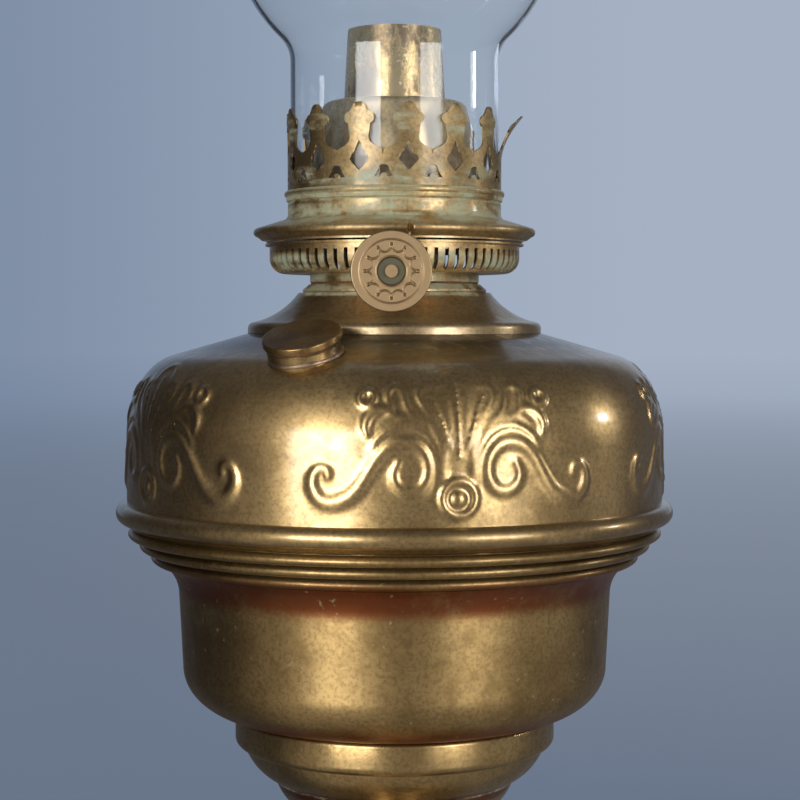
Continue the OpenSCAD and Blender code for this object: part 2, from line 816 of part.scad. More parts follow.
module deflector_cone() color(dark_brass) {
    z = gallery_z;
    bead = 0.7;
    bead_r = lip_r - slide_gap;
    edge_in = 0.2;
    edge_r = basket_flange_r - edge_in;
    flare = [0.8, 3.2];
    waist_in = 2;
    shoulder = arc(
        [cone_shoulder_r - cone_round_r, cone_top_z - cone_round_r], cone_round_r, cone_round_r, 12, 90, 8
    );
    skin = concat(
        [[cone_foot_r, z], [cone_foot_r - flare[0], z + flare[1]], [cone_foot_r - waist_in, z + cone_h / 2]],
        shoulder,
        [[tube_out + fit_gap, cone_top_z]]
    );
    turned(concat(
        [
            [edge_r, cone_flange_z],
            [edge_r, z],
            [bead_r, z],
            [bead_r, z + bead],
            [bead_r - bead, z + bead],
            [bead_r - bead, z]
        ],
        skin,
        flip(inset(skin, sheet))
    ));
}

module tube_window(r, w) {
    translate([-w / 2, -r - over, floor_top_z - over]) cube([w, r, window_h + over]);
}

module wick_tube() color(brass) {
    difference() {
        turned([
            [tube_bore, floor_top_z],
            [tube_out, floor_top_z],
            [tube_out, taper_z],
            [tube_mouth_bore + tube_mouth_wall, mouth_z],
            [tube_mouth_bore, mouth_z],
            [tube_bore, taper_z]
        ]);
        tube_window(tube_out, window_w);
    }
}

module draught_tube() color(brass) {
    difference() {
        ring(draught_r, draught_r - sheet, floor_top_z, mouth_z - draught_below - floor_top_z);
        tube_window(draught_r, 2 * draught_r + 2 * over);
    }
}

// Winder: two spiked wheels that turn together in the front opening of the wick

module winder_plate(y) {
    difference() {
        translate([-plate_w / 2, y - frame_t / 2, floor_top_z])
            cube([plate_w, frame_t, plate_top_z - floor_top_z]);
        winder_at(-shaft_half, y + over) cylinder(r = drive_r + run_gap, h = frame_t + 2 * over);
        winder_at(shaft_half, y + over) cylinder(r = idler_r + run_gap, h = frame_t + 2 * over);
    }
}

module winder_frame() color(steel) {
    winder_plate(back_plate_y);
    winder_plate(front_plate_y);
    translate([-plate_w / 2, front_plate_y, floor_top_z])
        cube([plate_w, back_plate_y - front_plate_y, frame_t]);
}

module shaft_bush() color(brass) {
    winder_at(-shaft_half, bush_y) difference() {
        cylinder(r = bush_r, h = bush_l);
        translate([0, 0, -over]) cylinder(r = drive_r + run_gap, h = bush_l + 2 * over);
    }
}

module winder_knob() color(pink_brass) {
    rim = 0.3;
    sink = 0.3;
    hub_wall = 1.75;
    rim_w = 1.7;
    band_w = 3.8;
    ring_w = 0.4;
    scallop_r = 0.95;
    bore = drive_r + fit_gap / 2;
    hub_r = drive_r + hub_wall;
    ring_out = knob_r - rim_w;
    ring_in = ring_out - band_w;
    path = [
        [bore, -hub_l],
        [hub_r, -hub_l],
        [hub_r, 0],
        [knob_r - rim, 0],
        [knob_r, rim],
        [knob_r, knob_t - rim],
        [knob_r - rim, knob_t],
        [ring_out + 2 * sink, knob_t],
        [ring_out + sink, knob_t - sink],
        [ring_out, knob_t],
        [ring_out - sink, knob_t - sink],
        [ring_in + sink, knob_t - sink],
        [ring_in, knob_t],
        [ring_in - ring_w, knob_t],
        [ring_in - ring_w - sink, knob_t - 2 * sink],
        [bore, knob_t - 2 * sink]
    ];
    winder_at(-shaft_half, -knob_y) {
        turned(path);
        for (i = [0:scallop_n - 1])
            rotate([0, 0, i * 360 / scallop_n])
            translate([(ring_in + ring_out) / 2, 0, knob_t / 2])
            cylinder(r = scallop_r, h = knob_t / 2);
    }
}

module drive_shaft() color(pink_brass) {
    head_over = 0.25;
    head_r = drive_r + head_over;
    head_h = 0.8;
    head_sink = 0.6;
    back = back_plate_y + frame_t / 2 + shaft_end;
    winder_at(-shaft_half, back) cylinder(r = drive_r, h = knob_y + back + knob_t);
    winder_at(-shaft_half, -knob_y) translate([0, 0, knob_t - head_sink]) cylinder(r = head_r, h = head_h);
}

module winder_wheel(x, bore, turn) {
    pitch = 360 / tooth_n;
    root_share = 0.28;
    tip_share = 0.09;
    root_turn = root_share * pitch;
    tip_turn = tip_share * pitch;
    teeth = [
        for (i = [0:tooth_n - 1], s = [[-1, wheel_root, root_turn], [-1, wheel_tip, tip_turn],
            [1, wheel_tip, tip_turn], [1, wheel_root, root_turn]])
        let (a = i * pitch + s[0] * s[2]) s[1] * [cos(a), sin(a)]
    ];
    winder_at(x, wheel_y + wheel_t / 2) difference() {
        rotate([0, 0, turn]) linear_extrude(wheel_t) polygon(teeth);
        translate([0, 0, -over]) cylinder(r = bore, h = wheel_t + 2 * over);
    }
}

module drive_wheel() color(brass) {
    winder_wheel(-shaft_half, drive_r + fit_gap / 2, 0);
}

module idler_shaft() color(steel) {
    back = back_plate_y + frame_t / 2 + shaft_end;
    front = front_plate_y - frame_t / 2 - shaft_end;
    winder_at(shaft_half, back) cylinder(r = idler_r, h = back - front);
}

module idler_wheel() color(brass) {
    winder_wheel(shaft_half, idler_r + fit_gap / 2, 180 + 180 / tooth_n);
}

module wick() color(cotton) {
    top_z = mouth_z - wick_below;
    low_z = floor_z - wick_tail;
    window_gap = 1;
    gap_z = floor_top_z + window_h + window_gap;
    reach = 2 * wick_out;
    difference() {
        ring(wick_out, wick_r, low_z, top_z - low_z);
        translate([0, 0, low_z - over]) linear_extrude(gap_z - low_z + over) polygon([
            [0, 0],
            reach * [-sin(wick_open), -cos(wick_open)],
            [0, -reach],
            reach * [sin(wick_open), -cos(wick_open)]
        ]);
    }
}

// Gallery and chimney

module gallery_ring() color(brass) {
    r = gallery_neck_r;
    z = gallery_z;
    edge_z = z + brim_edge_h;
    rise_z = z + brim_rise;
    curve = 1.6;
    curve_bend = 0.8;
    groove = 0.3;
    band = 0.4;
    band_h = 0.9;
    hook_in = 2.3;
    bead_z = crown_z - gallery_bead_r;
    band_z = bead_z - gallery_bead_r - band_h;
    hook_r = brim_r - hook_in;
    turned(concat(
        [[lip_r, z], [hook_r + groove, z]],
        arc([brim_r - brim_edge_r, edge_z], brim_edge_r, brim_edge_r, -80, 72, 12),
        bow([r + curve, rise_z], [r, rise_z + curve], curve_bend, 6),
        [
            [r, band_z - band],
            [r - groove, band_z - band / 2],
            [r + band, band_z],
            [r + band, band_z + band_h]
        ],
        arc([r, bead_z], gallery_bead_r, gallery_bead_r, -60, 70, 8),
        [
            [r, crown_z],
            [r - gallery_wall, crown_z],
            [r - gallery_wall, rise_z + curve - groove],
            [r + curve - groove, rise_z - brim_lip],
            [hook_r, edge_z + brim_lip],
            [hook_r, z + brim_lip],
            [lip_r, z + brim_lip]
        ]
    ));
}

// Prong: points are half widths and heights over the valleys between the prongs
prong_pitch = 360 / prong_n;
cell_half = crown_bore * tan(prong_pitch / 2);
prong_h = 11.5;
valley_v = crown_h - prong_h;
prong_foot = [0.66 * cell_half, 0.9];
prong_knee = [2.8, 1.8];
prong_waist = [2.35, 3];
prong_neck = [2.65, 4.6];
lobe_c = [2.4, 7.7];
lobe_r = 1.45;
tip_r = 1.85;

// Carries a flat shape to the crown's wall, turned a number of prongs round it
module crown_at(turns) {
    rotate([0, 0, prong_az + turns * prong_pitch]) translate([0, sheet - crown_bore, crown_z])
        rotate([90, 0, 0]) linear_extrude(4 * sheet) children();
}

// Half width of a prong against height, from the valley beside it up to its tip
prong_side = concat(
    [[cell_half, 0], prong_foot, prong_knee, prong_waist, prong_neck],
    arc(lobe_c, lobe_r, lobe_r, -72, 88, 7),
    arc([0, prong_h - tip_r], tip_r, tip_r, 12, 78, 5)
);

module prong_gap_flat() {
    half = [for (p = prong_side) [cell_half - p[0], valley_v + p[1]]];
    top = [half[len(half) - 1][0], crown_h + over];
    right = concat(half, [top]);
    left = [for (p = flip(right)) if (p[0] > 0) [-p[0], p[1]]];
    polygon(concat(right, left));
}

module diamond_flat() {
    half_w = 2.45;
    nip = 0.85;
    drop = 2.3;
    up = [1.9, 4.7];
    down = [1.4, 2.7];
    mid_v = valley_v - drop;
    right = [
        [0, mid_v + up[1]],
        [nip, mid_v + up[0]],
        [half_w, mid_v],
        [nip, mid_v - down[0]],
        [0, mid_v - down[1]]
    ];
    left = [for (p = flip(right)) if (p[0] > 0) [-p[0], p[1]]];
    polygon(concat(right, left));
}

module arch_flat() {
    sill_v = 1.9;
    arch_v = 4.8;
    arch_half = 1.1;
    foot_half = 2.4;
    bump_r = 0.95;
    arch_curve = 0.4;
    nip = [1.5, 3.3];
    right = [[foot_half, sill_v], nip, [arch_half, arch_v - arch_curve], [arch_half / 2, arch_v]];
    left = [for (p = flip(right)) [-p[0], p[1]]];
    polygon(concat(right, left, arc([0, sill_v], bump_r, bump_r, 180, 0, 6)));
}

module gallery_crown() color(dark_brass) {
    difference() {
        ring(crown_out, crown_bore, crown_z, crown_h);
        for (i = [0:prong_n - 1]) {
            crown_at(i + 0.5) prong_gap_flat();
            crown_at(i) diamond_flat();
            crown_at(i + 0.5) arch_flat();
        }
    }
}

module chimney_seat() color(dark_brass) {
    out = gallery_neck_r - gallery_wall - fit_gap;
    sleeve_h = 5;
    sleeve_z = crown_z - sleeve_h;
    turned([
        [out - sheet, sleeve_z],
        [out, sleeve_z],
        [out, crown_z],
        [seat_bore, crown_z],
        [seat_bore, crown_z - sheet],
        [out - sheet, crown_z - sheet]
    ]);
}

module chimney() color(glass, 0.35) {
    bulge_z = crown_z + bulge_h;
    low_c = [
        chimney_r + base_curve_r,
        bulge_z - sqrt(pow(bulge_r + base_curve_r, 2) - pow(chimney_r + base_curve_r, 2))
    ];
    high_c = [
        tube_r + tube_curve_r,
        bulge_z + sqrt(pow(bulge_r + tube_curve_r, 2) - pow(tube_r + tube_curve_r, 2))
    ];
    low_a = atan2(low_c[1] - bulge_z, low_c[0]);
    high_a = atan2(high_c[1] - bulge_z, high_c[0]);
    path = concat(
        [[chimney_r, crown_z], [chimney_r, (crown_z + low_c[1]) / 2]],
        arc(low_c, base_curve_r, base_curve_r, 180, 180 + low_a, 8),
        arc([0, bulge_z], bulge_r, bulge_r, low_a, high_a, 28),
        arc(high_c, tube_curve_r, tube_curve_r, 180 + high_a, 180, 12),
        [[tube_r, (high_c[1] + crown_z + chimney_h) / 2], [tube_r, crown_z + chimney_h]]
    );
    shell(path, glass_t);
}

felt_pad();
base_plate();
foot();
foot_weight();
rod_nut();
rod_washer();
tie_rod();
stem_knop();
drop_cup();
bowl_boss();
font_bowl();
font_top();
shoulder_dish();
font_collar();
filler_neck();
filler_washer();
filler_cap();
burner_gasket();
burner_base();
air_basket();
deflector_cone();
wick_tube();
draught_tube();
winder_frame();
shaft_bush();
winder_knob();
drive_shaft();
drive_wheel();
idler_shaft();
idler_wheel();
wick();
gallery_ring();
gallery_crown();
chimney_seat();
chimney();
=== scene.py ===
# %% [markdown]
# # A brass table oil lamp
# The lamp's solids come in first, as a frame that stays where it is. Nearly everything made below is
# a skin for one of those solids: it has the same place and size, and it follows the same moving body.
# Sizes are written in millimetres, as on a drawing, and MM turns them into Blender's metres.

# %% Load the solids
import json
import math

import bmesh
import bpy
import numpy as np
from mathutils import Matrix, Vector, noise

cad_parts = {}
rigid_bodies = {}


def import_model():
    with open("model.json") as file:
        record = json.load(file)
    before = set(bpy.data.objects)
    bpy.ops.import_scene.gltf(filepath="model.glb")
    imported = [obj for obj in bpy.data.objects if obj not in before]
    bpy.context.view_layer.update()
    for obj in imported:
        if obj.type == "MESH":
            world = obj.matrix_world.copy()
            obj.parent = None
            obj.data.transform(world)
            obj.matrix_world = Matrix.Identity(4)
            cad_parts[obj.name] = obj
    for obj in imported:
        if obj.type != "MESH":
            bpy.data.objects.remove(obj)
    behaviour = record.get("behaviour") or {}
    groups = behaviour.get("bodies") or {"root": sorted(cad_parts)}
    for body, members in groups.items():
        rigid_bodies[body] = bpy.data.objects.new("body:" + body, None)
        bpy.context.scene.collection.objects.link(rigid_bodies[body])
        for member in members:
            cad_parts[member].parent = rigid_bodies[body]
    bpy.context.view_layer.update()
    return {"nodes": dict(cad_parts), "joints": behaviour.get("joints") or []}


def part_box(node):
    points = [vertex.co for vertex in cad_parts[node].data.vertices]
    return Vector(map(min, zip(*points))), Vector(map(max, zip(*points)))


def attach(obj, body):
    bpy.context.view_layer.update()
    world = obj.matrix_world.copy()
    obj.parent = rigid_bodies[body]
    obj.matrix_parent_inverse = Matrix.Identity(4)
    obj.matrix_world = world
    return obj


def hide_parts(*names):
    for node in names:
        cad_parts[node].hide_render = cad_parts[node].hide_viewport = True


for leftover in list(bpy.data.objects):
    bpy.data.objects.remove(leftover)
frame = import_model()
joints = {joint["name"]: joint for joint in frame["joints"]}
scene = bpy.context.scene
MM = 0.001

# %% [markdown]
# ## Camera
# The picture was taken from close by with a long lens, from nearly half the lamp's height and
# looking slightly down. A camera can be placed by eye, but here it is worked out: the focal length in
# pixels sets the lens, and the distance is the one at which the lamp's known widths fill the frame.

# %% Camera
IMAGE_PX = 800
FOCAL_PX = 1900
LAMP_AXIS_PX = 394.5
CAMERA_AWAY = 487.6 * MM
CAMERA_HEIGHT = 243 * MM
CAMERA_TURN = math.radians(-3.55)
CAMERA_TILT = math.radians(2.47)

camera_data = bpy.data.cameras.new("camera")
camera_data.sensor_width = 36
camera_data.lens = camera_data.sensor_width * FOCAL_PX / IMAGE_PX
camera = bpy.data.objects.new("camera", camera_data)
aside = (IMAGE_PX / 2 - LAMP_AXIS_PX) / FOCAL_PX * CAMERA_AWAY
camera.location = Matrix.Rotation(CAMERA_TURN, 4, "Z") @ Vector((aside, -CAMERA_AWAY, CAMERA_HEIGHT))
camera.rotation_euler = (math.pi / 2 - CAMERA_TILT, 0, CAMERA_TURN)
scene.collection.objects.link(camera)
scene.camera = camera
scene.view_settings.view_transform = "Standard"
print("lens:", round(camera_data.lens, 2), "mm")

# %% [markdown]
# ## Nodes as sums
# A finish is a chain of shader nodes. Linking dozens of Math nodes by hand hides what they mean, so a
# small class wraps an output socket and lets it stand in a Python sum: `1 - mask` adds the node.
# Every other node comes from one method, which sets the node up and then fills or links its sockets.

# %% Node helpers
class Wire:
    """A node's output that may stand in a Python sum."""

    def __init__(self, bench, socket):
        self.bench = bench
        self.socket = socket

    def sum(self, operation, left, right):
        return self.bench.node("ShaderNodeMath", {"operation": operation}, {0: left, 1: right})

    def __add__(self, other):
        return self.sum("ADD", self, other)

    __radd__ = __add__

    def __sub__(self, other):
        return self.sum("SUBTRACT", self, other)

    def __rsub__(self, other):
        return self.sum("SUBTRACT", other, self)

    def __mul__(self, other):
        return self.sum("MULTIPLY", self, other)

    __rmul__ = __mul__

    def __abs__(self):
        return self.sum("ABSOLUTE", self, 0)


class Bench:
    """A node tree, and the one way in which nodes are added to it."""

    def __init__(self, tree):
        self.tree = tree
        tree.nodes.clear()

    def node(self, kind, settings=None, sockets=None, out=0):
        made = self.tree.nodes.new(kind)
        for name, value in (settings or {}).items():
            setattr(made, name, value)
        for name, value in (sockets or {}).items():
            if isinstance(value, Wire):
                self.tree.links.new(value.socket, made.inputs[name])
            else:
                made.inputs[name].default_value = value
        return Wire(self, made.outputs[out]) if made.outputs else made

    def place(self):
        return self.node("ShaderNodeTexCoord", out="Object")

    def split(self, vector, axis):
        return self.node("ShaderNodeSeparateXYZ", None, {0: vector}, axis)

    def stretch(self, vector, scale):
        return self.node("ShaderNodeMapping", None, {"Vector": vector, "Scale": scale})

    def noise(self, vector, scale, detail=4, roughness=0.55):
        sockets = {"Vector": vector, "Scale": scale, "Detail": detail, "Roughness": roughness}
        return self.node("ShaderNodeTexNoise", None, sockets)

    def step(self, value, low, high):
        sockets = {"Value": value, "From Min": low, "From Max": high}
        return self.node("ShaderNodeMapRange", {"interpolation_type": "SMOOTHSTEP"}, sockets)

    def band(self, height, middle, half):
        return 1 - self.step(abs(height - middle), 0.35 * half, half)

    def larger(self, one, other):
        return one.sum("MAXIMUM", one, other)

    def mix(self, share, one, other):
        return self.node("ShaderNodeMix", {"data_type": "RGBA"}, {0: share, 6: one, 7: other}, 2)

    def bump(self, height, distance, strength=1.0):
        sockets = {"Height": height, "Distance": distance, "Strength": strength}
        return self.node("ShaderNodeBump", None, sockets)

    def surface(self, sockets):
        shader = self.node("ShaderNodeBsdfPrincipled", None, sockets)
        self.node("ShaderNodeOutputMaterial", None, {"Surface": shader})


def srgb(red, green, blue):
    """A colour as a paint program shows it, 0 to 255, as the linear colour that a shader takes."""
    def linear(value):
        share = value / 255
        return share / 12.92 if share <= 0.04045 else ((share + 0.055) / 1.055) ** 2.4
    return (linear(red), linear(green), linear(blue), 1)


def new_finish(name):
    material = bpy.data.materials.new(name)
    material.use_nodes = True
    return material, Bench(material.node_tree)


print("node helpers ready")

# %% [markdown]
# ## Studio lamps
# Metal shows its surroundings, so the light matters as much as the brass. Two broad soft boxes stand
# left and right of the camera and make the long streaks on the font and the glass, and a small lamp on
# the right makes one spark. A rectangular area lamp serves for all: its size sets how soft it looks.

# %% Studio lamps
AIM_HEIGHT = 270 * MM


def soft_box(name, turn, away, height, wide, tall, power):
    data = bpy.data.lights.new(name, "AREA")
    data.shape = "RECTANGLE"
    data.size = wide
    data.size_y = tall
    data.energy = power
    lamp = bpy.data.objects.new(name, data)
    spin = Matrix.Rotation(math.radians(turn), 4, "Z")
    lamp.location = spin @ Vector((0, -away, height))
    aim = Vector((0, 0, AIM_HEIGHT)) - lamp.location
    lamp.rotation_euler = aim.to_track_quat("-Z", "Y").to_euler()
    scene.collection.objects.link(lamp)


soft_box("left_box", -32, 1.15, 0.3, 0.56, 0.42, 8.2)
soft_box("right_box", 37, 1.15, 0.31, 0.50, 0.38, 5.3)
soft_box("side_lamp", 93, 0.9, 0.42, 0.06, 0.06, 0.7)
print("lamps:", len(bpy.data.lights))

# %% [markdown]
# ## Room
# What the brass mirrors is a room that is lit before the lamp and dark behind it, with the pale
# backdrop as one patch. One even colour all round would leave the brass flat, so rays are told apart:
# a ray that is seen straight or through glass meets the backdrop wherever it goes, a mirrored ray
# meets the room, and scattered light gets a plain level.

# %% Room
BACKDROP_LEFT = srgb(124, 140, 164)
BACKDROP_RIGHT = srgb(166, 178, 196)
BACKDROP_HALF = 0.22
ROOM_LEFT = srgb(60, 59, 61)
ROOM_RIGHT = srgb(96, 95, 98)
LIT_LEFT = srgb(154, 149, 144)
LIT_RIGHT = srgb(158, 155, 152)
CEILING = srgb(98, 98, 102)
SHEEN = srgb(140, 148, 160)
SHEEN_WAY = (0.24, 0.87, 0.43)
AMBIENT = srgb(150, 152, 156)


def rays(bench):
    """How much a ray is one that is seen straight or through glass, and how much it is mirrored."""
    def is_ray(kind):
        return bench.node("ShaderNodeLightPath", out=f"Is {kind} Ray")

    through = is_ray("Transmission")
    return bench.larger(is_ray("Camera"), through), is_ray("Glossy") * (1 - through)


def backdrop_colour(bench, right):
    """The backdrop's colour, which is paler towards the right."""
    return bench.mix(bench.step(right, -BACKDROP_HALF, BACKDROP_HALF), BACKDROP_LEFT, BACKDROP_RIGHT)


def surroundings(bench, right, back):
    """What the brass mirrors on a level way out: a lit room before the lamp, a dark one behind it."""
    on_left = bench.mix(bench.step(0 - back, -0.1, 0.4), ROOM_LEFT, LIT_LEFT)
    on_right = bench.mix(bench.step(0 - back, -0.45, 0.45), ROOM_RIGHT, LIT_RIGHT)
    return bench.mix(bench.step(right, -0.7, 0.7), on_left, on_right)


world = bpy.data.worlds.new("studio")
world.use_nodes = True
scene.world = world
room = Bench(world.node_tree)
way = room.node("ShaderNodeTexCoord", out="Generated")
right, back, up = (room.split(way, axis) for axis in "XYZ")
backdrop = backdrop_colour(room, right)
sheen_way = right * SHEEN_WAY[0] + back * SHEEN_WAY[1] + up * SHEEN_WAY[2]
panel = room.step(sheen_way, 0.94, 0.99) * room.step(right, 0.06, 0.24)
walls = surroundings(room, right, back)
mirror_view = room.mix(panel, room.mix(room.step(up, 0.3, 0.7), walls, CEILING), SHEEN)
mirror_view = room.mix(room.step(back, 0.76, 0.97), mirror_view, backdrop)
seen, mirrored = rays(room)
view = room.mix(seen, room.mix(mirrored, AMBIENT, mirror_view), backdrop)
sky = room.node("ShaderNodeBackground", None, {"Color": view})
room.node("ShaderNodeOutputWorld", None, {"Surface": sky})
print("room nodes:", len(world.node_tree.nodes))

# %% [markdown]
# ## Floor
# The floor is plain and pale, and it keeps the lamp's shadow. Far off it takes on the backdrop's colour,
# so that no line shows where the two meet, and in the brass it looks like the room that stands on it.

# %% Floor
FLOOR_NEAR = srgb(84, 104, 133)
FLOOR_SIZE, FLOOR_GLOW, FLOOR_MIRROR = 12, 0.5, 0.88
FADE_END, FADE_FALL = 1.25, 0.875
floor_finish, bench = new_finish("pale_floor")
place = bench.place()
grain = bench.noise(place, 9, 3)
paint = bench.node("ShaderNodeBsdfPrincipled", None, {
    "Base Color": bench.mix(grain, srgb(178, 187, 201), srgb(184, 192, 205)),
    "Roughness": 0.8,
})
seen, mirrored = rays(bench)
away = bench.node("ShaderNodeVectorMath", {"operation": "LENGTH"}, {0: place}, "Value")
heading = bench.node("ShaderNodeVectorMath", {"operation": "NORMALIZE"}, {0: place}, "Vector")
right, back = (bench.split(heading, axis) for axis in "XY")
fade = FADE_END - FADE_FALL * away.sum("POWER", away, -0.5)
floor_seen = bench.mix(fade, FLOOR_NEAR, backdrop_colour(bench, right))
floor_mirrored = surroundings(bench, right, back)
glow = bench.node("ShaderNodeEmission", None, {"Color": bench.mix(mirrored, floor_seen, floor_mirrored)})
share = seen * (FLOOR_GLOW + bench.step(away, 1, 6) * (1 - FLOOR_GLOW)) + mirrored * FLOOR_MIRROR
blend = bench.node("ShaderNodeMixShader", None, {0: share, 1: paint, 2: glow})
bench.node("ShaderNodeOutputMaterial", None, {"Surface": blend})
floor_mesh = bpy.data.meshes.new("floor")
bm = bmesh.new()
bmesh.ops.create_grid(bm, x_segments=1, y_segments=1, size=FLOOR_SIZE)
bm.to_mesh(floor_mesh)
bm.free()
floor = bpy.data.objects.new("floor", floor_mesh)
floor_mesh.materials.append(floor_finish)
scene.collection.objects.link(floor)
print("floor:", 2 * FLOOR_SIZE, "m wide")

# %% [markdown]
# ## Aged brass
# Old brass is not one colour. It is olive gold where hands rub it, brown where it has tarnished, red
# where the copper shows through in corners, and pale green in the seams that trapped damp. A painted
# texture could hold that, but noise on the object's own coordinates needs no image and no unwrapping.
# Heights on the lamp say where the green and the copper lie, and where a dark grime lies that is
# partly dirt and partly painted shade in grooves and under the dish; fine rings follow the lathe. Spun
# metal also draws a highlight out across those rings, which is what the shader's anisotropy does.

# %% Brass finish
VERDIGRIS = srgb(176, 187, 160)
COPPER = srgb(126, 62, 30)
SPECK = srgb(156, 138, 102)
# The dark colour for grooves and corners: partly dirt, partly painted shade.
SHADE_AND_GRIME = srgb(46, 34, 20)


def bands(bench, height, places):
    """1 at each of a few heights, given with its half width in millimetres, and 0 elsewhere."""
    level = None
    for middle, half in places:
        band = bench.band(height, middle * MM, half * MM)
        level = band if level is None else bench.larger(level, band)
    return level


def brass(name, gold, brown, rough=0.3, green=(), copper=(), shade_and_grime=(), specks=0.0, green_level=0.5,
          coat=0.3):
    material, bench = new_finish(name)
    place = bench.place()
    height = bench.split(place, "Z")
    clouds = bench.noise(place, 34, 6, 0.62)
    mottle = bench.noise(place, 240, 5, 0.6)
    grain = bench.noise(place, 1100, 3, 0.6)
    rings = bench.noise(bench.stretch(place, (14, 14, 900)), 1, 3)
    tarnish = bench.step(clouds * 0.7 + mottle * 0.3, 0.36, 0.68)
    colour = bench.mix(tarnish * 0.85, gold, brown)
    colour = bench.mix(bench.step(grain, 0.42, 0.66) * 0.5, colour, brown)
    if copper:
        blush = bands(bench, height, copper) * bench.step(clouds + mottle * 0.4, 0.36, 0.72)
        colour = bench.mix(blush * 0.9, colour, COPPER)
    roughness = rough + (mottle - 0.5) * 0.2 + (rings - 0.5) * 0.10 + tarnish * 0.06
    metal = 1.0
    if specks:
        dots = bench.step(bench.noise(place, 620, 2, 0.4), 0.66, 0.76)
        dots = dots * bench.step(clouds, 0.42, 0.6) * specks
        colour = bench.mix(dots, colour, SPECK)
        roughness = roughness + dots * 0.2
        metal = metal - dots * 0.25
    if green:
        damp = bands(bench, height, green)
        patch = bench.noise(bench.stretch(place, (85, 85, 190)), 1, 6, 0.72)
        streak = bench.noise(bench.stretch(place, (40, 40, 700)), 1, 3)
        wet = patch * 0.8 + mottle * 0.35 + streak * 0.25
        damp = damp * bench.step(wet, green_level + 0.14, green_level + 0.36)
        colour = bench.mix(damp * 0.72, colour, VERDIGRIS)
        roughness = roughness + damp * 0.35
        metal = metal - damp * 0.6
    # Painted shade, with some dirt: the brass is darkened at the given heights.
    if shade_and_grime:
        shade_and_grime_mask = bands(bench, height, shade_and_grime) * bench.step(mottle + clouds * 0.4, 0.4, 0.7)
        colour = bench.mix(shade_and_grime_mask * 0.85, colour, SHADE_AND_GRIME)
        roughness = roughness + shade_and_grime_mask * 0.2
    relief = mottle * 0.5 + rings * 0.3 + grain * 0.3
    bench.surface({
        "Base Color": colour,
        "Metallic": metal,
        "Roughness": roughness,
        "Normal": bench.bump(relief, 0.00012, 0.35),
        "Anisotropic": 0.6,
        "Anisotropic Rotation": 0.25,
        "Coat Weight": coat,
        "Coat Roughness": 0.14,
    })
    return material


print("brass recipe ready")

# %% [markdown]
# ## Brass for each piece
# Each piece of the lamp aged in its own way, so each gets its own colours. The heights of green,
# copper and grime, in millimetres with a half width, are those of its seams, grooves and corners. The
# grime is partly dirt and partly painted shade, darker in the bowl's grooves and on the font under the
# dish.

# %% Brass for each piece
GOLD = srgb(192, 162, 109)
BROWN = srgb(121, 98, 61)
# The grooves between the bowl's ridges and the font near the dish are darkened: partly dirt, partly
# painted shade.
GROOVE_LOW, GROOVE_STEP, GROOVE_HALF = 181, 3.1, 0.35
grooves = [(GROOVE_LOW + GROOVE_STEP * k, GROOVE_HALF) for k in range(4)]
font_brass = brass("font_brass", GOLD, BROWN, 0.34, shade_and_grime=[(240, 7)], coat=0.75)
bowl_brass = brass("bowl_brass", srgb(180, 151, 100), srgb(116, 93, 57), 0.38,
                   copper=[(178.2, 6), (142, 6)], specks=0.8, shade_and_grime=grooves, coat=0.2)
foot_brass = brass("foot_brass", GOLD, BROWN, 0.31, copper=[(13.5, 4)],
                   green=[(6.4, 0.8), (9.4, 0.8), (12.4, 0.8)], green_level=0.5)
stem_brass = brass("stem_brass", GOLD, BROWN, 0.30, copper=[(124.6, 2.4)],
                   green=[(67.4, 0.7), (103.6, 0.7), (125.2, 0.7)], green_level=0.48)
dish_brass = brass("dish_brass", srgb(206, 182, 142), srgb(142, 120, 88), 0.36,
                   green=[(249.4, 1.2)], green_level=0.42)
# The cap's brass is darker than the rest: partly tarnish, partly painted shade for its dark top.
cap_brass_tarnish_and_shade = brass("cap_brass_tarnish_and_shade", srgb(168, 134, 84), srgb(104, 80, 52), 0.36)
soot_brass = brass("soot_brass", srgb(230, 200, 152), srgb(158, 134, 98), 0.45)
solder = brass("solder", srgb(170, 148, 124), srgb(128, 106, 84), 0.5)
burner_brass = brass("burner_brass", srgb(214, 182, 126), srgb(126, 102, 68), 0.42, green_level=0.435,
                     green=[(252, 3.4), (256.8, 3), (268.6, 4), (272.8, 1.8), (276, 2)])
crown_brass = brass("crown_brass", srgb(194, 167, 119), srgb(124, 103, 70), 0.52,
                    green=[(278, 3), (290.5, 4.5)], green_level=0.5)
print("brass finishes:", sum("brass" in m.name for m in bpy.data.materials))

# %% [markdown]
# ## Heated brass
# The tubes beside the flame have been hot for years. The brass there is bright gold where it was last
# rubbed, grey brown where soot has burnt on, and freckled with pale spots. The patches run up and down
# the tube, so the noise that places them is stretched along the height.

# %% Heated brass
def heated_brass():
    material, bench = new_finish("heated_brass")
    place = bench.place()
    runs = bench.noise(bench.stretch(place, (130, 130, 45)), 1, 6, 0.65)
    freckles = bench.noise(place, 620, 3, 0.5)
    burnt = bench.step(runs + (freckles - 0.5) * 0.25, 0.47, 0.6)
    spots = bench.step(freckles, 0.62, 0.7)
    colour = bench.mix(burnt * 0.85, srgb(214, 182, 134), srgb(104, 88, 76))
    bench.surface({
        "Base Color": bench.mix(spots * 0.6, colour, srgb(236, 218, 180)),
        "Metallic": 1.0,
        "Roughness": 0.26 + burnt * 0.18 + spots * 0.15,
        "Normal": bench.bump(freckles, 0.0001, 0.4),
    })
    return material


hot_brass = heated_brass()
print("finish:", hot_brass.name)

# %% [markdown]
# ## The other finishes
# Glass, cotton, felt, leather, steel and cast iron each get the one or two things that tell them
# apart: smears on glass, a weave and a burnt edge on the wick, fibres on felt, a grain on leather and
# the rough skin of a casting. All of them stay on object coordinates, like the brass.

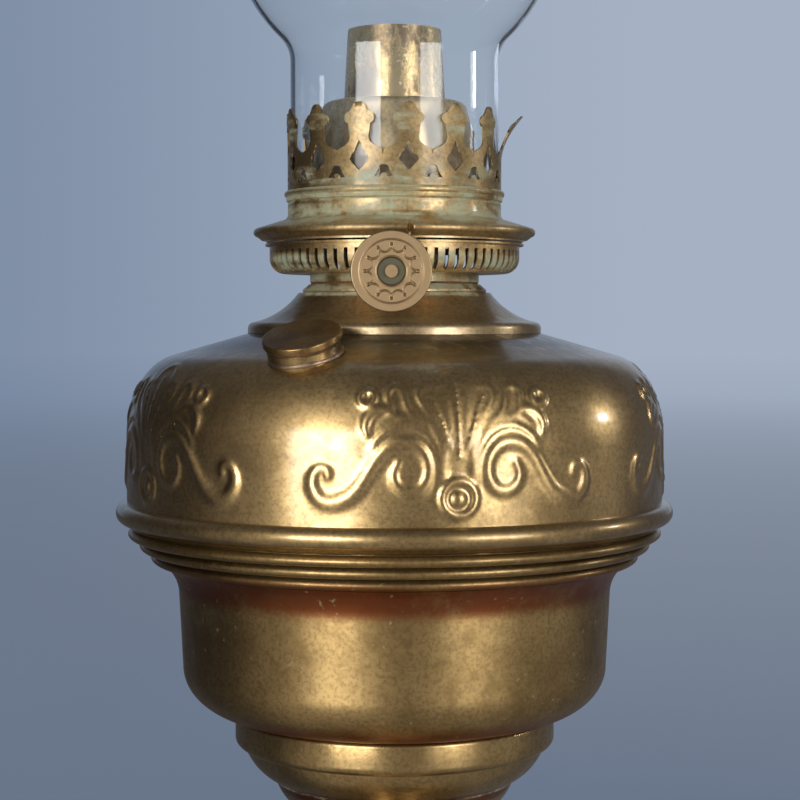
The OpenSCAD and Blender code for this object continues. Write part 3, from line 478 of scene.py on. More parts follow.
# %% Other finishes
def clear_glass():
    material, bench = new_finish("clear_glass")
    smear = bench.noise(bench.stretch(bench.place(), (30, 30, 9)), 1, 4)
    bench.surface({
        "Base Color": (0.97, 0.985, 0.98, 1),
        "Roughness": bench.step(smear, 0.5, 0.9) * 0.05,
        "IOR": 1.14,
        "Specular IOR Level": 1.0,
        "Transmission Weight": 1,
        "Coat Weight": 0.42,
        "Coat IOR": 1.5,
        "Coat Roughness": 0.01,
    })
    return material


def wick_cotton(top):
    material, bench = new_finish("wick_cotton")
    place = bench.place()
    height = bench.split(place, "Z")
    yarn = bench.node("ShaderNodeTexWave", {"bands_direction": "Z"}, {"Vector": place, "Scale": 260.0})
    fibre = bench.noise(place, 1500, 4)
    char = bench.step(height + fibre * 0.003, (top - 4.5) * MM, (top - 0.5) * MM)
    scorch = bench.step(height + fibre * 0.004, (top - 14) * MM, (top - 2) * MM)
    cotton = bench.mix(fibre, srgb(198, 184, 150), srgb(228, 218, 194))
    colour = bench.mix(char, bench.mix(scorch, cotton, srgb(122, 88, 50)), srgb(22, 19, 17))
    bench.surface({
        "Base Color": colour,
        "Roughness": 0.95,
        "Normal": bench.bump(yarn * 0.7 + fibre * 0.5, 0.0004, 0.8),
    })
    return material


def plain_stuff(name, light, dark, rough, metal, grain, depth):
    material, bench = new_finish(name)
    place = bench.place()
    fine = bench.noise(place, grain, 6, 0.65)
    broad = bench.noise(place, grain / 9, 3)
    share = bench.step(fine * 0.6 + broad * 0.4, 0.35, 0.65)
    bench.surface({
        "Base Color": bench.mix(share, light, dark),
        "Metallic": metal,
        "Roughness": rough + (fine - 0.5) * 0.2,
        "Normal": bench.bump(fine, depth * MM, 0.7),
    })
    return material


glass = clear_glass()
felt = plain_stuff("wool_felt", srgb(70, 92, 72), srgb(44, 62, 48), 0.95, 0, 1400, 0.35)
leather = plain_stuff("leather", srgb(112, 78, 48), srgb(62, 42, 28), 0.7, 0, 900, 0.15)
steel = plain_stuff("dull_steel", srgb(160, 158, 152), srgb(112, 108, 102), 0.42, 1, 700, 0.03)
iron = plain_stuff("cast_iron", srgb(74, 72, 70), srgb(48, 46, 45), 0.65, 0.6, 500, 0.3)
print("finishes:", len(bpy.data.materials))

# %% [markdown]
# ## Turning a profile
# Nearly all of this lamp was spun on a lathe, so nearly all of it is a profile turned round the
# upright axis. A profile is a list of radius and height, built from arcs where the metal is round, and
# the spin operator carries it round. A sheet-metal shell is the outer profile followed by the same
# profile moved inwards by the wall, which closes the mesh without any loose edge.

# %% Profile helpers
def arc(middle, wide, tall, start, end, steps=16):
    turns = [math.radians(start + (end - start) * i / steps) for i in range(steps + 1)]
    return [(middle[0] + wide * math.cos(t), middle[1] + tall * math.sin(t)) for t in turns]


def bow(p, q, bend, steps=14):
    """A round arc from p to q with a radius of bend chords; a positive bend bulges to the left."""
    dx, dy = q[0] - p[0], q[1] - p[1]
    chord = math.hypot(dx, dy)
    radius = abs(bend) * chord
    sign = math.copysign(1, bend)
    reach = sign * math.sqrt(radius ** 2 - chord ** 2 / 4) / chord
    middle = ((p[0] + q[0]) / 2 + reach * dy, (p[1] + q[1]) / 2 - reach * dx)
    start = math.degrees(math.atan2(p[1] - middle[1], p[0] - middle[0]))
    sweep = -sign * 2 * math.degrees(math.asin(chord / 2 / radius))
    return arc(middle, radius, radius, start, start + sweep, steps)


def inset(path, wall):
    moved = []
    for i, (r, z) in enumerate(path):
        before = path[max(i - 1, 0)]
        after = path[min(i + 1, len(path) - 1)]
        dr, dz = after[0] - before[0], after[1] - before[1]
        length = math.hypot(dr, dz)
        moved.append((max(r - wall * dz / length, 0), z + wall * dr / length))
    return moved


def shell(path, wall):
    return path + inset(path, wall)[::-1]


def flat_ring(bore, radius, low, top, bulge, half):
    """The outline of a flat ring whose edge bulges out."""
    edge = arc((radius, (low + top) / 2), bulge, half, -80, 80, 6)
    return [(bore, low), (radius, low)] + edge + [(radius, top), (bore, top)]


def turned(outline, steps=240, closed=True):
    """A profile of radius and height turned round the axis: one eighth is spun, then repeated."""
    bm = bmesh.new()
    verts = [bm.verts.new((r * MM, 0, z * MM)) for r, z in outline]
    edges = [bm.edges.new(pair) for pair in zip(verts, verts[1:])]
    if closed:
        edges.append(bm.edges.new((verts[-1], verts[0])))
    eighth = math.pi / 4
    bmesh.ops.spin(bm, geom=verts + edges, cent=(0, 0, 0), axis=(0, 0, 1), angle=eighth,
                   steps=steps // 8)
    once = bm.verts[:] + bm.edges[:] + bm.faces[:]
    for k in range(1, 8):
        copy = bmesh.ops.duplicate(bm, geom=once)["geom"]
        turn = Matrix.Rotation(k * eighth, 3, "Z")
        moved = [part for part in copy if isinstance(part, bmesh.types.BMVert)]
        bmesh.ops.rotate(bm, cent=(0, 0, 0), matrix=turn, verts=moved)
    bmesh.ops.remove_doubles(bm, verts=bm.verts, dist=2e-7)
    bmesh.ops.dissolve_degenerate(bm, edges=bm.edges, dist=1e-8)
    bmesh.ops.recalc_face_normals(bm, faces=bm.faces)
    return bm


def uneven(bm, amount, grain, shift=0.0):
    """Small swells and dips, as hand-finished sheet has."""
    for v in bm.verts:
        out = Vector((v.co.x, v.co.y, 0))
        if out.length > 1e-6:
            swell = noise.noise(v.co * grain + Vector((shift, 0, 0)))
            v.co += out.normalized() * amount * MM * swell


def span(node):
    """A node's radius, bottom and top in millimetres."""
    low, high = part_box(node)
    return (high.x - low.x) / 2 / MM, low.z / MM, high.z / MM


def add_piece(name, bm, finish, body, nodes, crease=38):
    mesh = bpy.data.meshes.new(name)
    bm.to_mesh(mesh)
    bm.free()
    mesh.shade_smooth()
    mesh.set_sharp_from_angle(angle=math.radians(crease))
    mesh.materials.append(finish)
    made = bpy.data.objects.new(name, mesh)
    scene.collection.objects.link(made)
    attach(made, body)
    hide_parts(*nodes)
    triangles = sum(len(p.vertices) - 2 for p in mesh.polygons)
    print(f"{name}: {triangles} triangles")
    return made


print("profile helpers ready")

# %% [markdown]
# ## Foot, felt and stem
# The foot and the stem are below the picture, so their lines follow lamps of this kind: a bead and two
# ridges round the edge, a low dome, a trumpet sweep, and one knop between two beads. Felt covers the
# underside. All three are plain turnings, which a lathe would make as well.

# %% Foot, felt and stem
FOOT_WALL = 1.2
NECK_R = 12.5
FOOT_RIDGES = 2
foot_r, foot_z, stem_z = span("foot")
bead_r = 2.6
bead_c = (foot_r - bead_r, foot_z + bead_r)
ridge_w, ridge_h = 2.6, 3.0
dome_w, dome_h = 24, 14
foot_path = []
for k in range(FOOT_RIDGES):
    ridge_c = (bead_c[0] - (k + 1) * ridge_w, bead_c[1] + bead_r + k * ridge_h)
    foot_path += arc(ridge_c, ridge_w, ridge_h, 0, 84, 10)
dome_z = bead_c[1] + bead_r + FOOT_RIDGES * ridge_h
sweep_r = bead_c[0] - FOOT_RIDGES * ridge_w - dome_w
foot_path += arc((sweep_r, dome_z), dome_w, dome_h, 0, 84, 24)
foot_path += arc((sweep_r, stem_z), sweep_r - NECK_R, stem_z - dome_z - dome_h, 270, 180, 30)
foot_bead = arc(bead_c, bead_r, bead_r, -180, 90, 24)
bm = turned(foot_bead + foot_path + inset(foot_path, FOOT_WALL)[::-1])
uneven(bm, 0.12, 22)
add_piece("foot_shell", bm, foot_brass, "stand", ["foot"])

felt_r, felt_low, felt_top = span("felt_pad")
edge = 0.4
bm = turned(flat_ring(0, felt_r - edge, felt_low, felt_top, edge, felt_top / 2), 200)
uneven(bm, 0.25, 900)
add_piece("felt_disc", bm, felt, "stand", ["felt_pad"])

knop_r, stem_low, drop_z = span("stem_knop")
small_bead = 2
quirk = (0.4, 0.6)
half_h = 10
mid_z = (stem_low + drop_z) / 2
ball = arc((knop_r - half_h, mid_z), half_h, half_h, -62, 62, 28)
low_neck = (NECK_R - quirk[0], stem_low + 2 * small_bead + quirk[1])
high_neck = (NECK_R - quirk[0], drop_z - 2 * small_bead - quirk[1])
stem_path = arc((NECK_R, stem_low + small_bead), small_bead, small_bead, -90, 90, 14)
stem_path += bow(low_neck, (ball[0][0] - quirk[0], ball[0][1] - quirk[1]), 0.8)
stem_path += ball
stem_path += bow((ball[-1][0] - quirk[0], ball[-1][1] + quirk[1]), high_neck, 0.8)
stem_path += arc((NECK_R, drop_z - small_bead), small_bead, small_bead, -90, 90, 14)
bm = turned(shell(stem_path, FOOT_WALL), 160)
add_piece("stem_turning", bm, stem_brass, "stand", ["stem_knop"])

# %% [markdown]
# ## Drop cup
# Under the bowl hangs a stepped cup: a plain ring, a swelling tier, and a belly that runs down to the
# stem. Only the upper half is in the picture, and the rest carries its curve on.

# %% Drop cup
drop_r, drop_low, bowl_z = span("drop_cup")
RING_H, TIER_H, RING_STEP, TIER_W = 8, 8.6, 2.1, 7.8
RING_ROUND, TOP_ROUND, SEAT_MID, SEAT_W = 2, 1, 4, 7
CUP_FOOT_OUT, BELLY_OUT, BELLY_SHARE = 0.5, 4.5, 0.4
ring_z = bowl_z - RING_H
tier_z = ring_z - TIER_H
tier_r = drop_r - RING_STEP
cup_r = tier_r - TIER_W
nip = 0.3
belly = (NECK_R + BELLY_OUT, drop_low + (tier_z - drop_low) * BELLY_SHARE)
cup_path = bow((NECK_R + CUP_FOOT_OUT, drop_low), belly, 0.9)
cup_path += bow((belly[0] + nip, belly[1] + nip), (cup_r - nip, tier_z - nip), -0.85, 20)
cup_path += bow((cup_r, tier_z), (tier_r - nip, ring_z - nip), -1.23, 16)
cup_path += arc((drop_r - RING_ROUND, ring_z + RING_ROUND), RING_ROUND, RING_ROUND, -80, 0, 10)
cup_path += arc((drop_r - TOP_ROUND, bowl_z - TOP_ROUND), TOP_ROUND, TOP_ROUND, 0, 90, 6)
cup_path += [(drop_r - SEAT_MID, bowl_z), (drop_r - SEAT_W, bowl_z)]
bm = turned(shell(cup_path, FOOT_WALL))
uneven(bm, 0.10, 30, 5)
add_piece("drop_shell", bm, stem_brass, "stand", ["drop_cup"])

# %% [markdown]
# ## Bowl
# The lower half of the font is a straight-sided bowl with a rounded corner. At the top it flares in a
# hollow curve into three half-round ridges under the rim. The wall is thin, so it is never quite true,
# and slow swells in the metal bend the reflections the way they do on the real one.

# %% Bowl
FONT_WALL = 0.8
BOWL_R, BOWL_DRAFT, CORNER_W, CORNER_H = 55.2, 0.9, 16.3, 12.6
COVE_W, COVE_TURN = 4.2, 55
RIDGE_N, RIDGE_H, RIDGE_LAND, LAND_IN = 3, 3.05, 0.3, 0.6
ridge_top_r, bowl_low, rim_z = span("font_bowl")
band_w = (ridge_top_r - BOWL_R - COVE_W) / RIDGE_N
cove_r = COVE_W / (1 - math.cos(math.radians(COVE_TURN)))
cove_z = rim_z - RIDGE_LAND - RIDGE_N * RIDGE_H - cove_r * math.sin(math.radians(COVE_TURN))
corner_c = (BOWL_R - BOWL_DRAFT - CORNER_W, bowl_low + CORNER_H)
bowl_path = [(0, bowl_low), (corner_c[0] / 2, bowl_low)]
bowl_path += arc(corner_c, CORNER_W, CORNER_H, -90, 0, 28)
bowl_path += [(BOWL_R - BOWL_DRAFT / 2, (corner_c[1] + cove_z) / 2)]
bowl_path += arc((BOWL_R + cove_r, cove_z), cove_r, cove_r, 180, 180 - COVE_TURN, 18)
for k in range(RIDGE_N):
    ridge_c = (BOWL_R + COVE_W + k * band_w, rim_z - RIDGE_LAND - (RIDGE_N - k - 0.5) * RIDGE_H)
    bowl_path += arc(ridge_c, band_w, RIDGE_H / 2, -84, 62, 14)
bowl_path += [(ridge_top_r - LAND_IN * band_w, rim_z)]
bm = turned(shell(bowl_path, FONT_WALL), 288)
uneven(bm, 0.16, 26, 9)
add_piece("bowl_shell", bm, bowl_brass, "stand", ["font_bowl"])

# %% [markdown]
# ## The stamped ornament
# Five shell-and-scroll ornaments are pressed into the font's upper half. Each is one half and its
# mirror image. Modelling ribs as separate strips would leave seams, so the sheet itself is moved: a
# height is worked out for each point from the ribs, beads and bosses near it. A rib is a smooth line
# through a few points, each with its half width, in millimetres beside and above the ornament's foot.
# The number before the points is the rib's own height.

# %% Ornament lines
ORNAMENT_N = 5
ORNAMENT_TURN = math.radians(8.75)
ORNAMENT_R = 68.2
RIBS = {
    "scroll": (0.9, [(13.4, 14.2, 0.9), (14.6, 11.2, 1.3), (13.6, 8.6, 1.6), (11.2, 7.3, 1.8),
        (8.4, 8.2, 1.8), (6.9, 11, 1.7), (7.1, 14.4, 1.7), (9, 17.2, 1.8), (12, 18.4, 1.9),
        (15.4, 17.6, 1.9), (18.3, 14.9, 1.9), (20.6, 11.3, 2), (23.4, 7.4, 2.2), (27, 5.2, 2.3),
        (30.6, 5.2, 2.1), (32.8, 7.8, 1.9), (32.9, 10.8, 1.6), (31.3, 12.7, 1.4), (29.6, 12.2, 1.3),
        (29.4, 10.8, 1.2)]),
    "stalk": (0.6, [(4.3, 9.6, 0.8), (4.6, 15.4, 0.95), (5.6, 18.9, 1), (7.3, 21.9, 0.95),
        (9.8, 24.9, 0.7), (10.6, 26, 0.4)]),
    "leaf_rib": (0.65, [(5.4, 17, 0.4), (7.4, 20.3, 0.9), (10.2, 21.9, 1), (13, 22.2, 1),
        (15.6, 21.3, 1), (18.2, 19.3, 0.9), (20, 16.4, 0.5)]),
    "leaf_side": (0.6, [(8.2, 21.2, 0.5), (10, 23.6, 0.85), (11.4, 26.2, 0.9), (12.2, 29, 0.85),
        (12.9, 31.3, 0.7)]),
    "leaf_tip": (0.75, [(12.6, 31, 0.6), (14, 31.6, 1.1), (15.6, 30.9, 1.25), (16.1, 29.2, 1.1),
        (15.4, 27, 0.8), (14.6, 25.2, 0.5)]),
    "leaf_hook": (0.9, [(14.2, 24.6, 0.6), (16.4, 25.8, 1.3), (18.8, 25.5, 1.6), (20.5, 23.9, 1.6),
        (21, 21.9, 1.4), (20.3, 19.7, 0.6)]),
    "leaf_root": (0.5, [(10.4, 22.9, 0.7), (12.6, 24, 1.2), (14.8, 24.2, 1), (17.2, 22.9, 0.8),
        (19, 21.3, 0.5)]),
    "fan_side": (0.65, [(3.2, 10.6, 0.7), (3.2, 15, 0.8), (3.7, 19.3, 0.85), (5.2, 23.5, 0.85),
        (7.2, 26.2, 0.85), (8.7, 28.6, 0.95), (8.8, 30.4, 0.95), (7.4, 31.6, 0.95), (5.6, 31.5, 0.85),
        (4.2, 31.2, 0.7)]),
    "fan_top": (0.6, [(4.2, 31.4, 0.7), (4.5, 33.2, 0.85), (3.6, 35.2, 0.95), (1.8, 36.4, 0.95),
        (0, 36.7, 0.95)]),
    "flute": (0.5, [(1, 14.2, 0.4), (1.3, 17, 0.6), (1.9, 22, 0.7), (2.6, 28, 0.6),
        (2.9, 30.5, 0.3)]),
    "side_flute": (0.45, [(2.2, 14.8, 0.35), (2.9, 18, 0.55), (4.3, 22.2, 0.65), (6.3, 25.4, 0.4)]),
}
RINGS = [(0, 5.9, 3.9, 1.3, 0.9), (20.8, 28.6, 1.8, 1.1, 1.0)]
BOSSES = [(0, 5.7, 2.1, 1.2)]
BEAD_LINES = [[(0, 15.2), (0, 33.2)], [(2.1, 17.4), (3.4, 22), (5.2, 26.4), (6.7, 29.4)]]
BEAD_GAP, BEAD_R, BEAD_HEIGHT = 0.95, 0.5, 0.22
FAN_HEIGHT, FAN_HALF, FAN_EDGE, FAN_FLARE, FLARE_FROM, FLARE_UP = 0.25, 4.2, 0.8, 0.42, 15, 14
FAN_LOW, LOW_FADE, FAN_TOP, TOP_FADE = 12, 3, 34.5, 2
RIB_POWER, RING_POWER, BOSS_POWER = 1.3, 1.5, 0.75
GRID = 0.15
SOFTNESS = 0.42
PRESSED = 0.68
HALF_PITCH = math.pi * ORNAMENT_R / ORNAMENT_N
ORNAMENT_TOP = 38
print("ornament ribs:", len(RIBS))

# %% [markdown]
# ## Heights from the lines
# Each rib, ring and boss is a round swell beside its line, and where two meet the higher one counts. The
# heights are worked out once on a fine grid and blurred a little, because sheet that was pressed over a
# die is soft. Then they can be read off at any point of the wall.

# %% Heights from the lines
def smooth_line(points, steps=8):
    """More points along a smooth line through those given, by the Catmull-Rom rule."""
    p = np.array(points, float)
    p = np.vstack([2 * p[0] - p[1], p, 2 * p[-1] - p[-2]])
    t = np.linspace(0, 1, steps, endpoint=False)[:, None]
    parts = []
    for a, b, c, d in zip(p, p[1:], p[2:], p[3:]):
        parts.append(b + 0.5 * t * (c - a + t * (2 * a - 5 * b + 4 * c - d + t * (3 * (b - c) + d - a))))
    return np.vstack(parts + [p[-2:-1]])


def swell(gap, power=1.0):
    """A round swell: 1 in the middle and 0 from a gap of 1 on. A small power makes it fuller."""
    return np.clip(1 - gap ** 2, 0, 1) ** power


def raise_rib(height, u, v, line, top):
    reach = line[:, 2].max()
    for (u0, v0, w0), (u1, v1, w1) in zip(line, line[1:]):
        near = (u > min(u0, u1) - reach) & (u < max(u0, u1) + reach)
        near &= (v > min(v0, v1) - reach) & (v < max(v0, v1) + reach)
        if near.any():
            du, dv = u1 - u0, v1 - v0
            along = ((u[near] - u0) * du + (v[near] - v0) * dv) / (du * du + dv * dv)
            along = np.clip(along, 0, 1)
            gap = np.hypot(u[near] - u0 - along * du, v[near] - v0 - along * dv)
            width = w0 + along * (w1 - w0)
            risen = top * (width / reach) ** 0.5 * swell(gap / width, RIB_POWER)
            height[near] = np.maximum(height[near], risen)


def raise_ring(height, u, v, ring):
    cu, cv, radius, half, top = ring
    gap = np.abs(np.hypot(u - cu, v - cv) - radius) / half
    height[:] = np.maximum(height, top * swell(gap, RING_POWER))


def raise_boss(height, u, v, boss):
    cu, cv, radius, top = boss
    gap = np.hypot(u - cu, v - cv) / radius
    height[:] = np.maximum(height, top * swell(gap, BOSS_POWER))


def soften(height):
    """Blurs a height map, as sheet that was pressed over a die is soft; the middle line mirrors."""
    reach = int(3 * SOFTNESS / GRID)
    taps = np.exp(-0.5 * (np.arange(-reach, reach + 1) * GRID / SOFTNESS) ** 2)
    taps /= taps.sum()
    wide = np.pad(height, reach, mode="reflect")
    wide = np.apply_along_axis(np.convolve, 0, wide, taps, "valid")
    return np.apply_along_axis(np.convolve, 1, wide, taps, "valid")


def height_map():
    """The ornament's right half as heights on a fine grid."""
    u, v = np.meshgrid(np.arange(0, HALF_PITCH, GRID), np.arange(0, ORNAMENT_TOP, GRID), indexing="ij")
    half = FAN_HALF + FAN_FLARE * np.clip(v - FLARE_FROM, 0, FLARE_UP)
    fan = np.clip((half - u) / FAN_EDGE, 0, 1) * np.clip((v - FAN_LOW) / LOW_FADE, 0, 1)
    height = FAN_HEIGHT * fan * np.clip((FAN_TOP - v) / TOP_FADE, 0, 1)
    for top, points in RIBS.values():
        raise_rib(height, u, v, smooth_line(points), top)
    for ring in RINGS:
        raise_ring(height, u, v, ring)
    for boss in BOSSES:
        raise_boss(height, u, v, boss)
    height = PRESSED * soften(height)
    for points in BEAD_LINES:
        line = smooth_line(points, 40)
        lengths = np.concatenate([[0], np.cumsum(np.hypot(*np.diff(line, axis=0).T))])
        for at in np.arange(0, lengths[-1], BEAD_GAP):
            bead = (np.interp(at, lengths, line[:, 0]), np.interp(at, lengths, line[:, 1]))
            gap = np.hypot(u - bead[0], v - bead[1]) / BEAD_R
            height += BEAD_HEIGHT * swell(gap)
    return height


HEIGHTS = height_map()


def ornament_height(turn, v):
    """Height of the ornament at a turn round the lamp and a length up the wall."""
    pitch = 2 * math.pi / ORNAMENT_N
    u = np.abs((turn - ORNAMENT_TURN + pitch / 2) % pitch - pitch / 2) * ORNAMENT_R
    across = np.clip(u / GRID, 0, HEIGHTS.shape[0] - 1.001)
    up = np.clip(v / GRID, 0, HEIGHTS.shape[1] - 1.001)
    i, j = across.astype(int), up.astype(int)
    a, b = across - i, up - j
    low = (1 - a) * HEIGHTS[i, j] + a * HEIGHTS[i + 1, j]
    high = (1 - a) * HEIGHTS[i, j + 1] + a * HEIGHTS[i + 1, j + 1]
    return (1 - b) * low + b * high


print("height map:", HEIGHTS.shape, "points")

# %% [markdown]
# ## Font profile
# The font's upper half is a straight wall on a rolled bead, a round shoulder and a gentle slope up to
# the hole under the dish. The profile is kept with its running length, because the ornament is laid
# out along that length and not by height: it climbs over the shoulder.

# %% Font profile
DOME_W, DOME_H, DOME_TURN = 14.5, 20.5, 78.5
RIM_BEAD_R, RIM_BEAD_UP = 2.5, 3.5
FONT_R = ORNAMENT_R
HOLE_R = 32.5
SKIRT_IN, SKIRT_EDGE_IN, WALL_LIFT, WALL_NEAR = 1.4, 0.4, 0.2, 0.25
ORNAMENT_FOOT_Z = 197
WALL_ROWS, SLOPE_ROWS = 14, 8
rim_r, _, dome_top = span("font_top")
dome_turn = math.radians(DOME_TURN)
DOME_SLOPE = DOME_H / DOME_W / math.tan(dome_turn)
dome_edge_r = FONT_R - DOME_W + DOME_W * math.cos(dome_turn)
spring_z = dome_top - DOME_SLOPE * (dome_edge_r - HOLE_R) - DOME_H * math.sin(dome_turn)
dome_c = (FONT_R - DOME_W, spring_z)
rim_c = (rim_r - RIM_BEAD_R, rim_z + RIM_BEAD_UP)
bead_end = math.degrees(math.acos((FONT_R - rim_c[0]) / RIM_BEAD_R))
wall_low = rim_c[1] + RIM_BEAD_R + WALL_LIFT
wall_path = [(FONT_R, wall_low + (spring_z - wall_low) * i / WALL_ROWS) for i in range(WALL_ROWS)]
wall_path += arc(dome_c, DOME_W, DOME_H, 0, DOME_TURN, 22)
dome_edge = wall_path[-1]
for k in range(1, SLOPE_ROWS + 1):
    r = dome_edge[0] + (HOLE_R - dome_edge[0]) * k / SLOPE_ROWS
    wall_path.append((r, dome_edge[1] + DOME_SLOPE * (dome_edge[0] - r)))
skirt_r = FONT_R - SKIRT_IN
inner_path = inset(wall_path[:-1:4] + [wall_path[-1]], FONT_WALL)[::-1]
rim_path = arc(rim_c, RIM_BEAD_R, RIM_BEAD_R, -90, bead_end, 18)
font_outline = rim_path + wall_path + inner_path
font_outline += [(skirt_r, rim_c[1]), (skirt_r, rim_z), (ridge_top_r - SKIRT_EDGE_IN, rim_z)]

wall = np.array(wall_path)
wall_s = np.concatenate([[0], np.cumsum(np.hypot(*np.diff(wall, axis=0).T))])
WALL_FOOT = wall_low - ORNAMENT_FOOT_Z
print("wall length:", round(float(wall_s[-1]), 1), "mm")

# %% [markdown]
# ## Pressing the ornament
# The shell is turned at a modest density. Then the faces that carry the ornament are subdivided, and
# those with the steepest relief once more, so that triangles go where they show. At the end the points
# return to the true profile and rise by the ornament's height.

# %% Pressing the ornament
def wall_points(bm):
    """The sheet's outer vertices, with their turn and their length up the wall."""
    co = np.array([v.co for v in bm.verts]) / MM
    radius = np.hypot(co[:, 0], co[:, 1])
    on_wall = (co[:, 2] > wall_low) & (co[:, 2] < dome_edge[1])
    on_wall &= np.abs(radius - np.interp(co[:, 2], wall[:, 1], wall[:, 0])) < WALL_NEAR
    turn = np.arctan2(co[:, 0], -co[:, 1])
    return np.flatnonzero(on_wall), turn[on_wall], np.interp(co[on_wall, 2], wall[:, 1], wall_s)


def cut_where(bm, steepest):
    """Subdivides the outer faces over which the ornament's height differs by more than steepest."""
    bm.verts.ensure_lookup_table()
    index, turn, length = wall_points(bm)
    where = {int(i): k for k, i in enumerate(index)}
    faces = [f for f in bm.faces if all(v.index in where for v in f.verts)]
    corners = np.array([[where[v.index] for v in f.verts[:3]] for f in faces])
    turns = np.unwrap(turn[corners], axis=1)
    lengths = length[corners]

    def inside(value, a, b):
        return value[:, 1] + a * (value[:, 0] - value[:, 1]) + b * (value[:, 2] - value[:, 1])

    quarters = (0, 0.25, 0.5, 0.75, 1)
    places = [(a, b) for a in quarters for b in quarters]
    spread = np.array([
        ornament_height(inside(turns, a, b), inside(lengths, a, b) + WALL_FOOT) for a, b in places
    ])
    steep = spread.max(axis=0) - spread.min(axis=0) > steepest
    edges = {e for f, cut in zip(faces, steep) if cut for e in f.edges}
    bmesh.ops.subdivide_edges(bm, edges=list(edges), cuts=1, use_grid_fill=True)
    bm.verts.index_update()


def press(bm):
    """Puts the outer vertices back on the true profile and raises them by the ornament's height."""
    bm.verts.ensure_lookup_table()
    index, turn, length = wall_points(bm)
    height = ornament_height(turn, length + WALL_FOOT)
    slope = np.gradient(wall, wall_s, axis=0)
    slope /= np.linalg.norm(slope, axis=1)[:, None]
    out_r = np.interp(length, wall_s, slope[:, 1])
    out_z = np.interp(length, wall_s, -slope[:, 0])
    r = np.interp(length, wall_s, wall[:, 0]) + height * out_r
    z = np.interp(length, wall_s, wall[:, 1]) + height * out_z
    for i, t, radius, level in zip(index, turn, r, z):
        bm.verts[i].co = Vector((radius * math.sin(t), -radius * math.cos(t), level)) * MM
    return height.max()


bm = turned(font_outline, 360)
cut_where(bm, 0.05)
cut_where(bm, 0.2)
highest = press(bm)
bmesh.ops.recalc_face_normals(bm, faces=bm.faces)
print("ornament stands", round(float(highest), 2), "mm proud")
font_shell = add_piece("font_shell", bm, font_brass, "stand", ["font_top"], 50)

# %% [markdown]
# ## Filler hole
# The filler's neck passes through the dome. Its cap's joint already holds the place and the lean of the
# axis, so a plain cylinder is carried there and cut out by an exact boolean.

# %% Filler hole
def filler_frame():
    axis = Vector(joints["filler_unscrew"]["axis"])
    turn = Vector((0, 0, 1)).rotation_difference(axis).to_matrix().to_4x4()
    return Matrix.Translation(joints["filler_unscrew"]["pos_m"]) @ turn


FILLER_R, FILLER_WALL, FILLER_H, FILLER_IN, FILLER_TILT = 8.7, 1.1, 3.0, 7, 22.5
drill_mesh = bpy.data.meshes.new("drill")
drill_r = FILLER_R - 0.3
bm = turned([(0, -FILLER_IN), (drill_r, -FILLER_IN), (drill_r, FILLER_IN), (0, FILLER_IN)], 96)
bmesh.ops.transform(bm, matrix=filler_frame(), verts=bm.verts)
bm.to_mesh(drill_mesh)
bm.free()
drill = bpy.data.objects.new("drill", drill_mesh)
scene.collection.objects.link(drill)
cut = font_shell.modifiers.new("filler_hole", "BOOLEAN")
cut.object = drill
cut.solver = "EXACT"
bpy.context.view_layer.objects.active = font_shell
bpy.ops.object.modifier_apply(modifier=cut.name)
bpy.data.objects.remove(drill)
print("font faces after the hole:", len(font_shell.data.polygons))

# %% [markdown]
# ## Shoulder dish and collar
# A flared dish covers the join at the top of the dome, and the collar that takes the burner is
# soldered into it. Both are turned with soft edges, because bare corners would catch light as hard
# lines that pressed metal does not have.

# %% Shoulder dish and collar
DISH_EDGE_R, DISH_EDGE_UP, SHELF_W, SPIGOT_IN = 1.5, 1.3, 1.1, 1.9
dish_r, dish_low, dish_top = span("shoulder_dish")
collar_r, spigot_low, collar_top = span("font_collar")
spigot_r = collar_r - SPIGOT_IN
dish_bore = spigot_r + 0.05
dish_edge = arc((dish_r - DISH_EDGE_R, dish_low + DISH_EDGE_UP), DISH_EDGE_R, DISH_EDGE_R, 0, 78, 10)
dish_path = [(dish_r, dish_low)] + dish_edge
dish_path += bow(dish_edge[-1], (collar_r + SHELF_W, dish_top), 1.4, 22)
dish_path += [(dish_bore, dish_top)]
dish_inner = inset(dish_path[1:-1], FONT_WALL)[::-1]
dish_outline = dish_path + [(dish_bore, dish_top - FONT_WALL)] + dish_inner
bm = turned(dish_outline + [(dish_r - FONT_WALL, dish_low + 0.3)])
uneven(bm, 0.10, 40, 3)
add_piece("dish_shell", bm, dish_brass, "stand", ["shoulder_dish"])

soft = 0.35
bore_r = 19.2
COLLAR_EDGE_H, COLLAR_IN = 1.0, 1.5
collar_outline = [(bore_r, spigot_low), (spigot_r, spigot_low)]
collar_outline += [(spigot_r, dish_top), (collar_r - soft, dish_top)]
collar_outline += arc((collar_r - soft, dish_top + soft), soft, soft, -80, 0, 5)
collar_outline += arc((collar_r - soft, dish_top + COLLAR_EDGE_H - soft), soft, soft, 0, 50, 4)
lip_r = collar_r - COLLAR_IN
collar_outline += [(lip_r, collar_top - 0.1), (lip_r - 0.2, collar_top), (bore_r, collar_top)]
add_piece("collar_turning", turned(collar_outline), burner_brass, "stand", ["font_collar"])

# %% [markdown]
# ## Filler
# The filler stands on the dome's shoulder and leans outwards with it. Its neck, washer and screw cap
# are turned upright at the origin and then carried to the filler's own frame, which the joint of the
# cap already holds.

# %% Filler
CAP_R, CAP_T, PLUG_L, WASHER_T = 9.35, 1.8, 4.8, 0.55
filler_bore = FILLER_R - FILLER_WALL


def at_filler(bm):
    bmesh.ops.transform(bm, matrix=filler_frame(), verts=bm.verts)
    return bm


